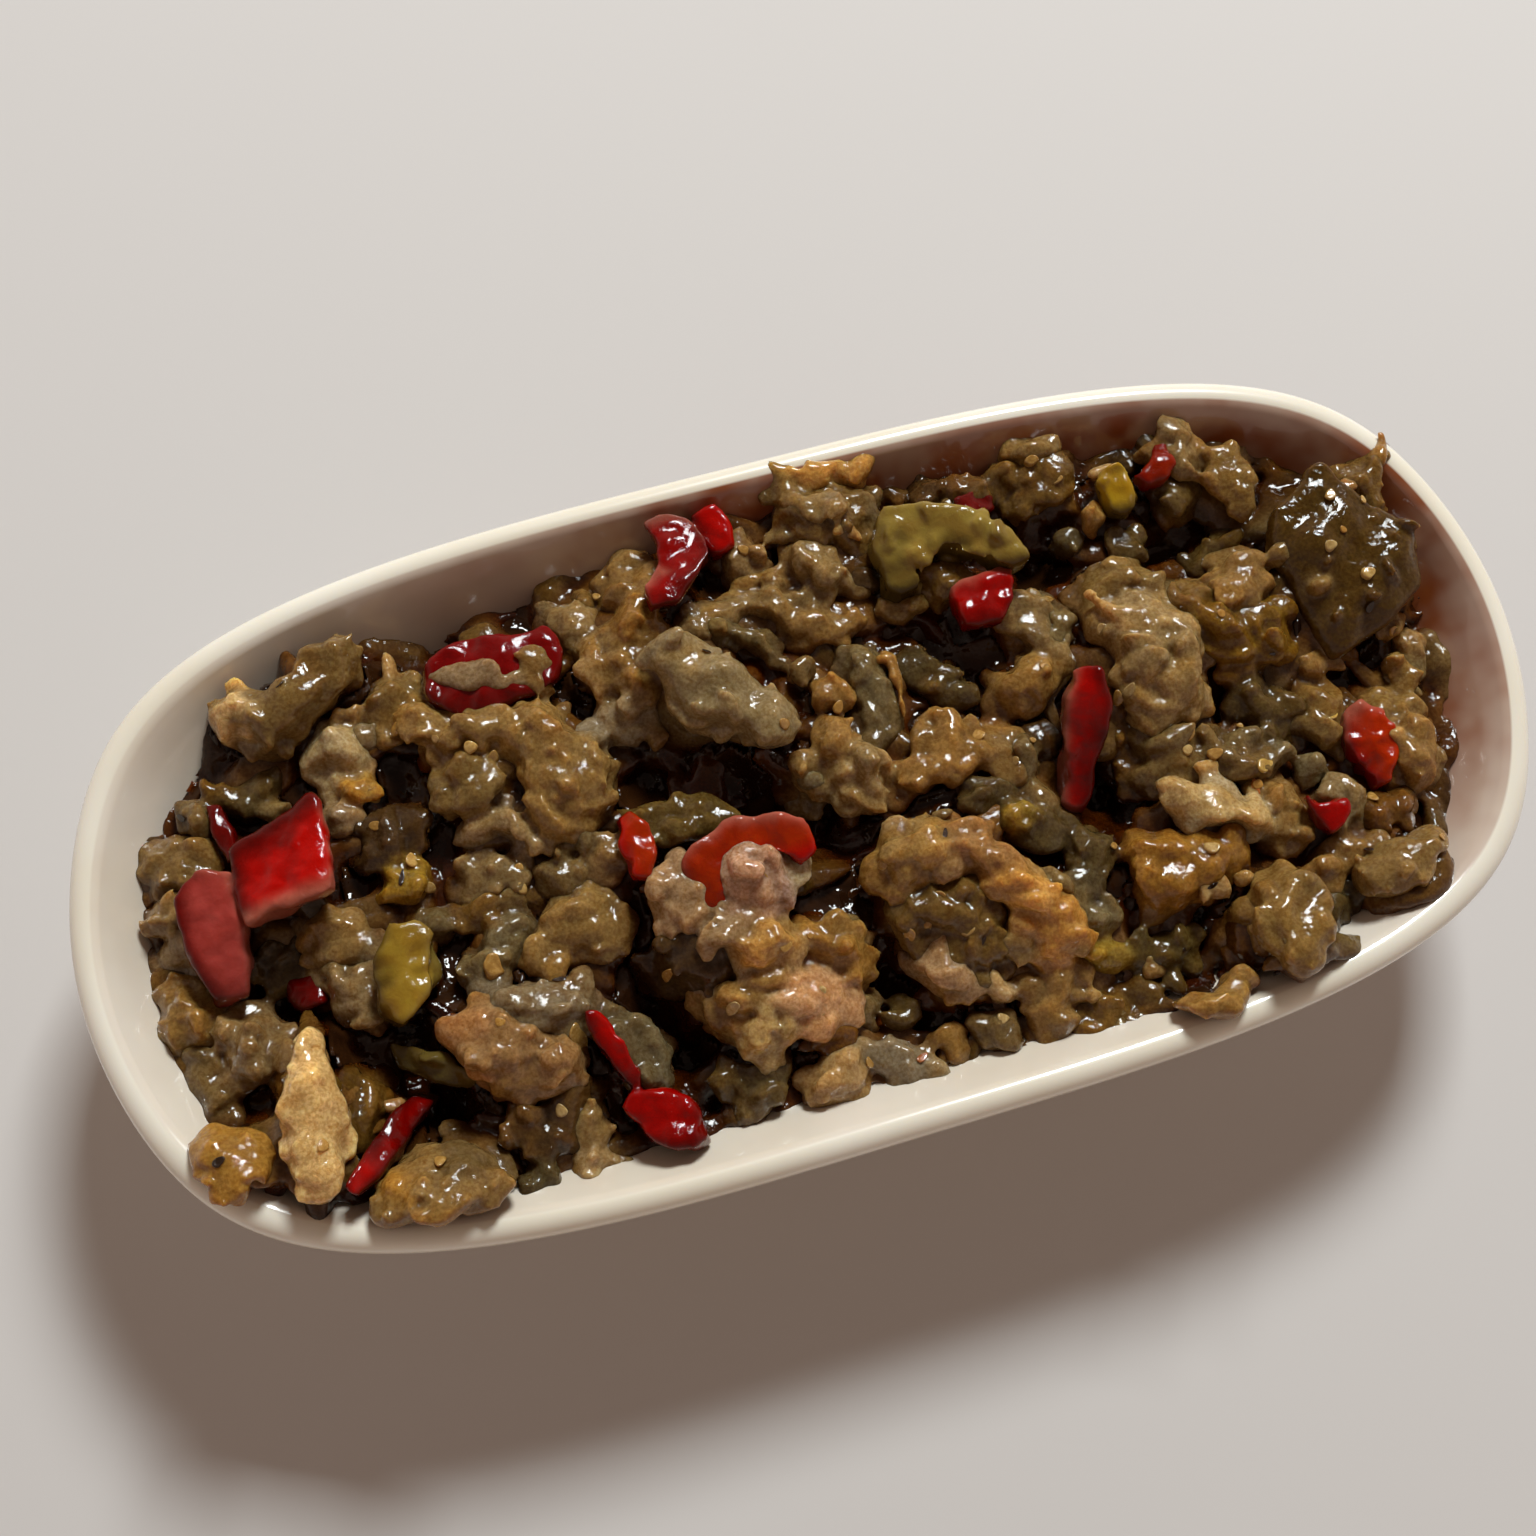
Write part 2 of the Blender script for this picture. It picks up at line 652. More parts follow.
def fuse(name, pile, skin, smoothing, bumps, floorHeight, mostTriangles):
    # joins the shapes into one skin, softens it, puts the small unevenness on it and thins out the flat parts
    points, faces, colours = pile.arrays()
    obj = makeMesh(name, points, faces)
    remesh = obj.modifiers.new("oneSkin", "REMESH")
    remesh.mode = "VOXEL"
    remesh.voxel_size = skin * fineness * mm
    remesh.use_smooth_shade = True
    softened(obj, smoothing)
    for bump in bumps:
        addRelief(obj, *bump)
    softened(obj, smoothing)
    graph = bpy.context.evaluated_depsgraph_get()
    mesh = bpy.data.meshes.new_from_object(obj.evaluated_get(graph))
    obj.modifiers.clear()
    obj.data = mesh
    mesh.name = name
    co = keepOffWall(coordinates(mesh), floorHeight)
    mesh.vertices.foreach_set("co", (co * mm).ravel())
    paint(mesh, co, points, colours)
    thin = obj.modifiers.new("thinOut", "DECIMATE")
    thin.ratio = min(1.0, mostTriangles / trianglesOf(mesh))
    obj.data = bpy.data.meshes.new_from_object(obj.evaluated_get(bpy.context.evaluated_depsgraph_get()))
    obj.modifiers.clear()
    obj.data.name = name
    obj.data.shade_smooth()
    print(name, trianglesOf(mesh), "triangles, thinned to", trianglesOf(obj.data))
    return obj


def trianglesOf(mesh):
    return len(mesh.loops) - 2 * len(mesh.polygons)


def coordinates(mesh):
    co = np.empty(len(mesh.vertices) * 3)
    mesh.vertices.foreach_get("co", co)
    return co.reshape(-1, 3) / mm


def edgesOf(mesh):
    pairs = np.empty(len(mesh.edges) * 2, int)
    mesh.edges.foreach_get("vertices", pairs)
    return pairs.reshape(-1, 2)


def averaged(values, pairs, rounds):
    # each point's value mixed with its neighbours'
    n = len(values)
    number = 1 + np.bincount(pairs.ravel(), minlength=n)
    for _ in range(rounds):
        columns = []
        for column in values.T:
            total = column + np.bincount(pairs[:, 0], column[pairs[:, 1]], n) + np.bincount(pairs[:, 1], column[pairs[:, 0]], n)
            columns.append(total / number)
        values = np.column_stack(columns)
    return values


def paint(mesh, co, sourcePoints, sourceColours):
    # tint: the tone of the nearest source shape. crease: 0.5 on the flat, more on ridges, less in hollows,
    # with how far the point lies under the heap's top in its second channel
    tree = kdtree.KDTree(len(sourcePoints))
    for k, point in enumerate(sourcePoints):
        tree.insert(point, k)
    tree.balance()
    nearest = [tree.find(point)[1] for point in co]
    pairs = edgesOf(mesh)
    tint = averaged(sourceColours[nearest], pairs, 5)
    normals = np.empty(len(mesh.vertices) * 3)
    mesh.vertices.foreach_get("normal", normals)
    normals = normals.reshape(-1, 3)
    crease = np.clip(0.5 + 0.9 * ((co - averaged(co, pairs, 8)) * normals).sum(1), 0, 1)
    crease = averaged(crease[:, None], pairs, 1)
    layer = mesh.attributes.new("tint", "FLOAT_COLOR", "POINT")
    layer.data.foreach_set("color", np.column_stack([tint, np.ones(len(tint))]).ravel())
    sunk = np.clip((heap.at(co[:, 0], co[:, 1]) + 0.6 - co[:, 2]) / 5.5, 0, 1)[:, None]
    layer = mesh.attributes.new("crease", "FLOAT_COLOR", "POINT")
    layer.data.foreach_set("color", np.column_stack([crease, sunk, sunk * 0, np.ones(len(crease))]).ravel())


# ---------- what lies in the dish ----------

# tone, thickness, how far the top stands above the heap, graininess, outline seen from above
slabs = [
    # left end
    ("amberBrown", 5, 1.2, 0.12, [(-90, 15.5), (-88, 17), (-85, 16), (-80.5, 14.5), (-81, 11), (-84, 10), (-88, 10.5), (-90, 12)]),
    ("olive", 2.5, 0.8, 0.05, [(-79.8, 24.5), (-78.5, 24), (-77.2, 22), (-78, 20.5), (-79.5, 20.5)]),
    ("grey", 3, 0.8, 0.05, [(-82.5, 21.5), (-80.5, 21), (-80, 18), (-81, 16.5), (-82.5, 18)]),
    ("greyTan", 5, 1.2, 0.08, [(-90, 7.5), (-88.5, 9.5), (-85.5, 9), (-84.5, 6.5), (-85.5, 5), (-88, 5), (-90, 6)]),
    ("greyTan", 4, 0.8, 0.08, [(-89.5, 4), (-86.5, 4), (-84.5, 3), (-84, 0), (-87, -1), (-90.5, 1)]),
    ("amber", 5, 1.5, 0.1, [(-91.2, -2.5), (-89, -0.8), (-86.5, -1), (-86, -4), (-83.5, -6.5), (-83.5, -9), (-86.5, -9.5), (-88.5, -9.5), (-90.5, -10.8), (-91, -6)]),
    ("greyTan", 7, 1.8, 0.4, [(-84.5, -9.5), (-82, -8), (-79, -8.5), (-76.5, -12), (-77, -15), (-80, -17.5), (-84.5, -17), (-85, -13)]),
    ("grey", 5, 0.5, 0.1, [(-89, -11.5), (-86, -12), (-85, -15), (-86.5, -20), (-89, -19.5), (-90.5, -15)]),
    ("olive", 5, 0.3, 0.25, [(-70.5, -21), (-68.5, -20.3), (-66, -22), (-66, -25.5), (-68, -28), (-71, -27)]),
    ("pink", 2, 0.8, 0.0, [(-67, -24), (-64.5, -23.7), (-63.8, -25), (-66, -25.8)]),
    ("tanGrey", 5, 1.0, 0.03, [(-72, 0.5), (-69, 1), (-64.5, 2.5), (-62, -1), (-63, -5), (-66, -6), (-70, -3.5)]),
    ("oliveDark", 3, 0.8, 0.05, [(-79, -2), (-75, 0), (-70.5, -2), (-70, -4.5), (-73, -6.5), (-77, -5)]),
    ("pinkGrey", 2.3, 1.6, 0.0, [(-84, 2.5), (-81.5, 1), (-79, -2.5), (-80, -3.2), (-82.5, -0.5)]),
    ("greyTan", 6, 1.4, 0.08, [(-72, -6), (-69, -5.3), (-65, -5.5), (-62.3, -6.5), (-62.5, -11), (-65, -14.5), (-68, -13), (-69.5, -9), (-71, -7)]),
    # left of the middle
    ("tanOlive", 8, 2.2, 0.45, [(-50, 24), (-46, 24.3), (-41.5, 24), (-39, 22.5), (-33, 21), (-30.5, 19.5), (-29.5, 15), (-27.5, 10), (-28, 6.5), (-31, 5), (-34.5, 4.5), (-37, 8), (-40, 11.5), (-42.5, 14), (-44, 18), (-49, 19.5)]),
    ("greyWhite", 4, 1.2, 0.03, [(-47.3, 7.5), (-45, 9), (-42, 8.8), (-39, 7), (-37, 4.5), (-36.5, 1), (-38.5, 1.5), (-40.5, 4.5), (-43.5, 5.5), (-46.5, 6)]),
    ("tanGrey", 4, 1.0, 0.06, [(-49.7, 3), (-47, 3), (-44, 3.3), (-43, 1.5), (-41, 0.5), (-40.8, -1), (-43, -1.8), (-47, -1.5), (-49.5, -1)]),
    ("clearGrey", 3.5, 1.0, 0.0, [(-52, -8.8), (-49, -9), (-46.5, -6.5), (-44, -6), (-42.5, -8), (-44.5, -10.5), (-48, -12.5), (-52, -12.5)]),
    ("tanOlive", 4, 1.4, 0.06, [(-46, -12), (-43, -9), (-40, -6), (-36, -5), (-33, -5), (-31, -7.5), (-30.5, -10.5), (-33, -12.5), (-38, -13), (-43, -14)]),
    ("greyPale", 5, 1.8, 0.12, [(-50, -15), (-47, -14.5), (-43, -15), (-39, -16.5), (-37.5, -19), (-38.5, -21.5), (-41, -21), (-44, -20.5), (-48, -19)]),
    ("pink", 7, 1.8, 0.2, [(-55, -16.5), (-51, -15.5), (-48, -18), (-45, -21), (-42, -22), (-40.5, -26), (-43, -28.5), (-48, -29), (-51, -27), (-53, -24.5), (-56, -21)]),
    ("pale", 3, 1.0, 0.05, [(-45, -36), (-42.5, -36), (-39.5, -39.2), (-42, -40.8), (-44.8, -40.5)]),
    ("clearGrey", 4, 0.2, 0.15, [(-37, -20.5), (-34.5, -21), (-31, -25), (-30, -29), (-32, -32), (-35, -29), (-36.5, -24)]),
    # far side
    ("tanGrey", 5, 1.2, 0.08, [(-29.5, 35.5), (-27.5, 36.3), (-25.5, 35), (-24, 32), (-24.5, 28), (-26.5, 27.5), (-28, 30.5), (-29.3, 33)]),
    ("tan", 6, 1.8, 0.08, [(-21.8, 37), (-20, 38.3), (-17.5, 39.8), (-14.5, 39), (-13, 37), (-13.5, 34), (-16, 32.5), (-20, 32), (-22, 34)]),
    ("tan", 6, 2.2, 0.08, [(-20, 33), (-17.5, 33.5), (-14.5, 32), (-14.5, 28), (-16, 26), (-19.5, 26), (-23, 27), (-22, 30)]),
    ("amberBrown", 5, 1.4, 0.1, [(-26, 26.5), (-23, 27), (-19, 26.5), (-17, 23), (-18, 19.5), (-21, 19), (-24, 20.5), (-25.5, 23)]),
    ("pale", 2.3, 1.8, 0.0, [(-28.5, 25), (-26, 25.5), (-24.5, 23.5), (-25, 20), (-26.3, 19.5), (-27, 22)]),
    ("tanGrey", 4.5, 1.2, 0.06, [(-12, 28.5), (-9, 30), (-5, 30), (-1, 28.5), (2, 29), (6, 27.5), (8, 25.5), (7, 24), (3, 24.5), (-2, 26), (-7, 26.5), (-11, 26)]),
    ("clearGrey", 3, 0.6, 0.0, [(-9, 26), (-6, 25.8), (-2.5, 24.5), (0, 21), (-0.5, 19.5), (-3, 21.5), (-6, 23.5), (-9, 24.5)]),
    ("tan", 4.5, 1.2, 0.05, [(1.5, 24.5), (4.5, 25), (8, 24), (9.5, 22), (8, 20), (4, 20.5), (1.5, 22)]),
    ("greyTan", 5, 1.2, 0.08, [(-1, 38), (0.5, 38), (1.8, 35.5), (2, 33.5), (-0.5, 32.5), (-3, 33), (-3, 36)]),
    ("tanGrey", 4, 1.4, 0.03, [(5.5, 33), (8, 33.2), (10, 31), (12.5, 28), (11.5, 26.5), (8.5, 27), (6.5, 29.5)]),
    ("amberBright", 4, 3.0, 0.06, [(7.5, 45.5), (10, 44.8), (13, 45.3), (16, 45.3), (18.5, 44.3), (21, 44.2), (19.5, 42), (18, 40.3), (15, 40.5), (12, 41.5), (9, 42.5)]),
    ("oliveTan", 2.8, 3.4, 0.0, [(5.4, 46), (7, 47), (8.6, 45.6), (9, 41), (8.6, 37), (6, 37), (5.4, 42)]),
    ("brownPink", 6, 1.5, 0.2, [(8, 42), (12, 42.5), (17, 41), (18, 37), (15.5, 33), (13.5, 32), (10, 34), (7, 35), (6, 38)]),
    ("amberPale", 2.5, 3.2, 0.03, [(8.3, 39.5), (10.5, 40.5), (13, 39.5), (14.5, 38), (15, 36.5), (12.5, 35.5), (9.5, 36.5), (8, 37.8)]),
    ("pale", 2.3, 2.2, 0.0, [(11, 34), (14, 35.5), (15.3, 33), (15.5, 31.5), (12.5, 33)]),
    ("grey", 3, 2.0, 0.0, [(17, 39.5), (18.8, 39), (18.8, 36), (17.5, 34), (16.3, 35), (16.5, 37.5)]),
    ("brownDark", 6, 1.2, 0.1, [(24.5, 39), (26.5, 41.3), (30, 41), (34, 39.5), (35.8, 36.5), (35, 33.5), (32, 33), (29.5, 35), (26, 36)]),
    ("pinkTan", 4, 2.5, 0.06, [(61.5, 36), (63, 38.5), (65, 39), (65.5, 36), (65, 32), (63, 30), (60.5, 30.5), (60.5, 33)]),
    ("oliveBrown", 4, 1.2, 0.05, [(59, 30), (62, 30.5), (64.5, 29), (64, 25.5), (61, 25), (59.5, 27)]),
    ("oliveTan", 2.6, 3.0, 0.04, [(64.3, 28.7), (66.5, 30.5), (66.3, 32.5), (68, 33), (70.5, 32.5), (72, 29), (72.5, 26.5), (70.5, 24), (69, 20.8), (66.8, 22.5), (67.5, 24.5), (66.3, 26.5)]),
    ("greyDark", 4, 0.8, 0.08, [(62, 20), (64, 22), (67, 22.5), (68.5, 20.5), (67.5, 18), (64.5, 17), (61, 17.5)]),
    # right
    ("oliveTan", 5, 1.5, 0.1, [(42.5, 17.5), (44.5, 20), (48, 20.5), (51, 18.5), (52.5, 15.5), (50, 14), (46, 14.5), (43, 15.5)]),
    ("amberPale", 7.5, 2.8, 0.04, [(43, 14.5), (46, 14), (50, 14.5), (53, 12), (56, 9), (56.2, 6.5), (54, 4), (50.5, 3.5), (46.5, 5.5), (43.5, 8)]),
    ("pale", 2.3, 3.4, 0.0, [(42.7, 16), (43.8, 15), (46, 11), (47, 8.5), (45, 9.5), (43.5, 12.5)]),
    ("amberPale", 8, 2.5, 0.12, [(43.5, 4.5), (46.5, 6.3), (50, 5), (53.5, 2.5), (54.5, -2), (53, -4.5), (49, -5.5), (44.5, -4), (43, 0)]),
    ("brownPink", 6, 1.2, 0.2, [(44, -5.5), (48, -5), (53, -5), (58, -8.5), (60, -13), (56, -14.5), (50, -13.5), (44, -12)]),
    ("paleWhite", 4.5, 2.6, 0.05, [(44.3, -13.8), (47.5, -13.3), (51, -14.5), (55, -17.5), (56.5, -20.5), (54.5, -22), (50.5, -20.5), (46.5, -18), (44, -16)]),
    ("amberDeep", 8, 1.8, 0.4, [(36.5, -21), (38.5, -18.8), (43, -19.5), (47, -20), (50.5, -22), (52, -25), (49, -27.5), (46, -28.5), (42, -28), (38, -27.5), (36.3, -25)]),
    ("pale", 2, 3.0, 0.0, [(43.5, -26.5), (47, -25.3), (48, -27.5), (47.2, -29.5), (45, -28.8)]),
    ("pinkTan", 6, 1.6, 0.15, [(57, -15), (61, -15), (63, -18), (62.5, -22), (60, -24.5), (57.5, -24), (56.5, -20)]),
    ("tan", 5, 1.2, 0.06, [(59.5, -28.5), (63, -28), (66, -26), (69.5, -26.5), (69.5, -28.5), (66, -31), (61.5, -31.5), (59.5, -30.5)]),
    ("greyDark", 4, 0.8, 0.06, [(59, -31.5), (63, -32), (66.5, -32), (66, -35), (61.5, -36.5), (59, -35)]),
    ("amberDark", 4, -1.2, 0.05, [(46, -31), (49, -30.5), (49.5, -36), (48.5, -40), (45.5, -38)]),
    ("brown", 4, 0.8, 0.1, [(71, -22), (75, -21), (78, -22.5), (77, -25.5), (73, -26), (70.5, -24.5)]),
    ("pinkTan", 7, 1.6, 0.08, [(78, -11.5), (81, -12), (84, -13), (84, -18), (81.5, -21.5), (78, -21), (77, -17), (77, -13)]),
    ("oliveTan", 5, 1.0, 0.08, [(78.5, -6), (82, -6), (84.5, -8), (84, -12), (80, -12), (77.5, -9.5)]),
    ("oliveTan", 6, 1.5, 0.05, [(68.5, -4), (71, -3.5), (74, -6), (74.5, -9.5), (72, -12.5), (68.5, -11), (67.5, -7)]),
    ("greyDark", 6, 0.8, 0.08, [(60.5, -3), (63.5, -2.8), (66.5, -3.5), (67.5, -7), (66, -10), (62, -10.5), (60, -7)]),
    ("tan", 6, 2.5, 0.06, [(60, 14.5), (64, 15.5), (66.5, 17), (69, 15), (70, 11.5), (68, 9.5), (64, 9.5), (61, 11)]),
    ("oliveAmber", 8, 1.8, 0.03, [(56, 9), (60, 9.5), (65, 9), (69.5, 8), (70.3, 3), (68.5, 0), (64, 0.3), (59.5, 1), (57, 4.5)]),
    ("oliveBrown", 4, 2.0, 0.12, [(81.5, 23.5), (84, 25), (88, 26), (91.3, 27.3), (91.5, 25.5), (89.5, 22.5), (88, 18.5), (86.5, 17.5), (85, 20)]),
    ("tan", 2.3, 2.6, 0.0, [(88.5, 25), (91.5, 27.5), (91.8, 26), (89.8, 23)]),
    # middle
    ("clearGrey", 6, 1.0, 0.02, [(7.5, 19.5), (10, 18.5), (12.5, 15.5), (12.8, 10), (12, 5.5), (10, 3.5), (7.5, 4.5), (6.8, 9), (7, 14)]),
    ("tan", 2.3, 1.5, 0.0, [(13, 17), (15, 15), (14.5, 11), (13, 6), (12.6, 7.5), (13.3, 12)]),
    ("tan", 6, 1.8, 0.08, [(14.5, 4), (16.5, 6.5), (18.5, 6.5), (19.5, 3.5), (23, 2.5), (26.5, 1), (27.3, -1.5), (26, -3.5), (22, -3.5), (18, -4.5), (13, -4.5), (9.5, -3), (10, -0.5), (13.5, 1)]),
    ("amber", 6, 3.0, 0.06, [(3, -13), (5, -10.5), (10, -8.8), (13, -10.5), (13, -14), (9, -16), (4.5, -16.5)]),
    ("pink", 6, 3.0, 0.05, [(13, -10.5), (17, -11), (20, -15.5), (21, -18.5), (18, -20), (15, -17), (12.5, -14)]),
    ("amberBright", 6, 2.6, 0.06, [(17.5, -19), (21, -18), (24.5, -20.5), (27, -25.5), (27.5, -28.5), (25.5, -30.5), (21.5, -30), (19.5, -26)]),
    ("brownAmber", 7, 0.8, 0.4, [(4, -17), (8, -16), (14, -16.5), (18, -20), (19.5, -26), (18, -30), (13, -31), (8, -28), (5, -23)]),
    ("palePink", 4, 2.2, 0.03, [(4.5, -25.5), (7.5, -25), (10.5, -27.5), (12, -30), (9.5, -30.8), (6, -28.5)]),
    ("clearGrey", 3, 1.5, 0.0, [(23, -19.5), (26, -20.5), (28.5, -24), (28, -27), (25.5, -23.5)]),
    ("yellowOlive", 3.5, 0.8, 0.0, [(27, -29.5), (30.5, -29.8), (34, -32), (33, -34), (29, -34), (27.5, -32)]),
    ("clearOlive", 3, 0.8, 0.0, [(34, -31.5), (38, -30.8), (43, -30.5), (43.5, -33), (41.5, -37), (37, -36), (34, -34.5)]),
    ("pinkTan", 6, 1.2, 0.06, [(20, -31.8), (24, -31), (27, -32.5), (26.3, -35), (25, -37.5), (22.5, -39), (19, -38.5), (18, -35)]),
    ("oliveBrown", 6, 1.0, 0.12, [(24, -38.5), (28, -36), (31, -36), (34.5, -38.5), (35, -42), (31, -43.5), (26, -42.5), (22, -41)]),
    ("greyDark", 4, 0.8, 0.06, [(21, -9.5), (25, -9.5), (29, -12), (31.5, -14), (29.5, -15.5), (25, -15), (22, -13.5)]),
    ("grey", 4, 0.8, 0.04, [(25.5, -5), (28, -5.5), (30.5, -9), (30, -12), (27, -12), (25.5, -9)]),
    ("pale", 4.5, 1.2, 0.06, [(-13.5, -38.5), (-11.5, -35.5), (-9, -33), (-6, -34), (-5.5, -38), (-8, -40.5), (-12, -40.8)]),
    ("greyWhite", 4.5, 1.2, 0.05, [(-5, -33.5), (-2.5, -33.8), (1, -35), (3.5, -38.5), (4, -40.5), (0.5, -41), (-3.5, -38.5), (-5.5, -36)]),
    ("brownDark", 5, 0.6, 0.1, [(-29, -17), (-27, -13), (-22, -13.5), (-18, -15), (-18, -20), (-21, -24), (-25, -22), (-28, -19)]),
    ("pale", 4, 3.0, 0.3, [(-17, -17.5), (-14, -17), (-11, -18), (-9.5, -20), (-12, -21.5), (-15.5, -21.5)]),
    ("amber", 4.5, 2.5, 0.08, [(-10, -17), (-8, -16.5), (-5, -19), (-2, -21), (-1, -24.5), (-3, -26), (-6, -23.5), (-9, -20.5)]),
    ("pinkTan", 5, 2.0, 0.08, [(-22, -23), (-18, -22), (-14, -23), (-13.5, -26), (-17, -27), (-20.5, -27)]),
    ("paleWhite", 4, 2.5, 0.5, [(-19.5, -30), (-17.5, -27), (-15.5, -25.8), (-13.5, -27.5), (-14, -30.5), (-17, -31.5), (-19, -32)]),
    ("salmonDeep", 6.5, 2.8, 0.05, [(-14, -25), (-11.5, -22.5), (-8.5, -22.5), (-5.5, -25), (-4.8, -28.5), (-7, -31), (-11, -31.3), (-14, -28.5)]),
    ("palePink", 4, 3.0, 0.03, [(-25.5, -6.5), (-22.4, -4.6), (-19.6, -5.6), (-19.4, -9), (-20.4, -13), (-22.6, -14), (-26, -13.4), (-25.5, -9.5)]),
    ("flushed", 5, 3.4, 0.02, [(-17, -6), (-12, -5.4), (-9, -7), (-8.4, -11.5), (-11, -15), (-14.5, -14.5), (-17.5, -11)]),
    ("paleWhite", 1.8, 3.0, 0.0, [(-8, -6.5), (-5.3, -7), (-5, -9.5), (-6.5, -12.5), (-8.8, -12.3)]),
    ("clearOlive", 2.5, 1.6, 0.0, [(-28, 4.5), (-25.5, 4), (-21, 3.5), (-16, 3.5), (-13, 1), (-12, -2), (-16, -2.5), (-21, -2.5), (-24.5, -2), (-26.5, 1.5)]),
    ("pinkGrey", 2.5, 3.2, 0.06, [(-47, 28), (-45, 29.5), (-41, 29.2), (-38.5, 28.2), (-37.5, 26.5), (-39, 25.3), (-43, 24.6), (-45, 26)]),
    ("pinkGrey", 2, 2.6, 0.0, [(-40, 26), (-36, 25.3), (-34.8, 24.3), (-36, 23.5), (-40, 24)]),
    ("tan", 2.5, 2.8, 0.05, [(-34.5, 28.5), (-33, 29.3), (-31, 28.5), (-30, 25.5), (-32, 23), (-34, 23.5), (-34.5, 26)]),
    ("tanGrey", 4.5, 1.2, 0.2, [(31, 17.5), (33, 19.5), (36, 18.5), (37, 15), (38, 11), (38.3, 8.5), (36, 7.8), (34.5, 10.5), (32.5, 13.5), (31, 15.5)]),
    ("clearGrey", 3.5, 0.8, 0.03, [(36, 19), (38.5, 17), (40, 14.5), (39, 12), (37.5, 11), (37, 15)]),
    ("amberBrown", 7, 2.6, 0.03, [(26.5, 6.5), (28, 9), (31.5, 10), (35, 9), (36, 6), (34, 3.5), (31, 2), (28, 3)]),
    ("brownAmber", 4, -0.8, 0.05, [(40, 3), (43, 4), (43, -3), (42, -10), (40.5, -11), (40.5, -4)]),
]

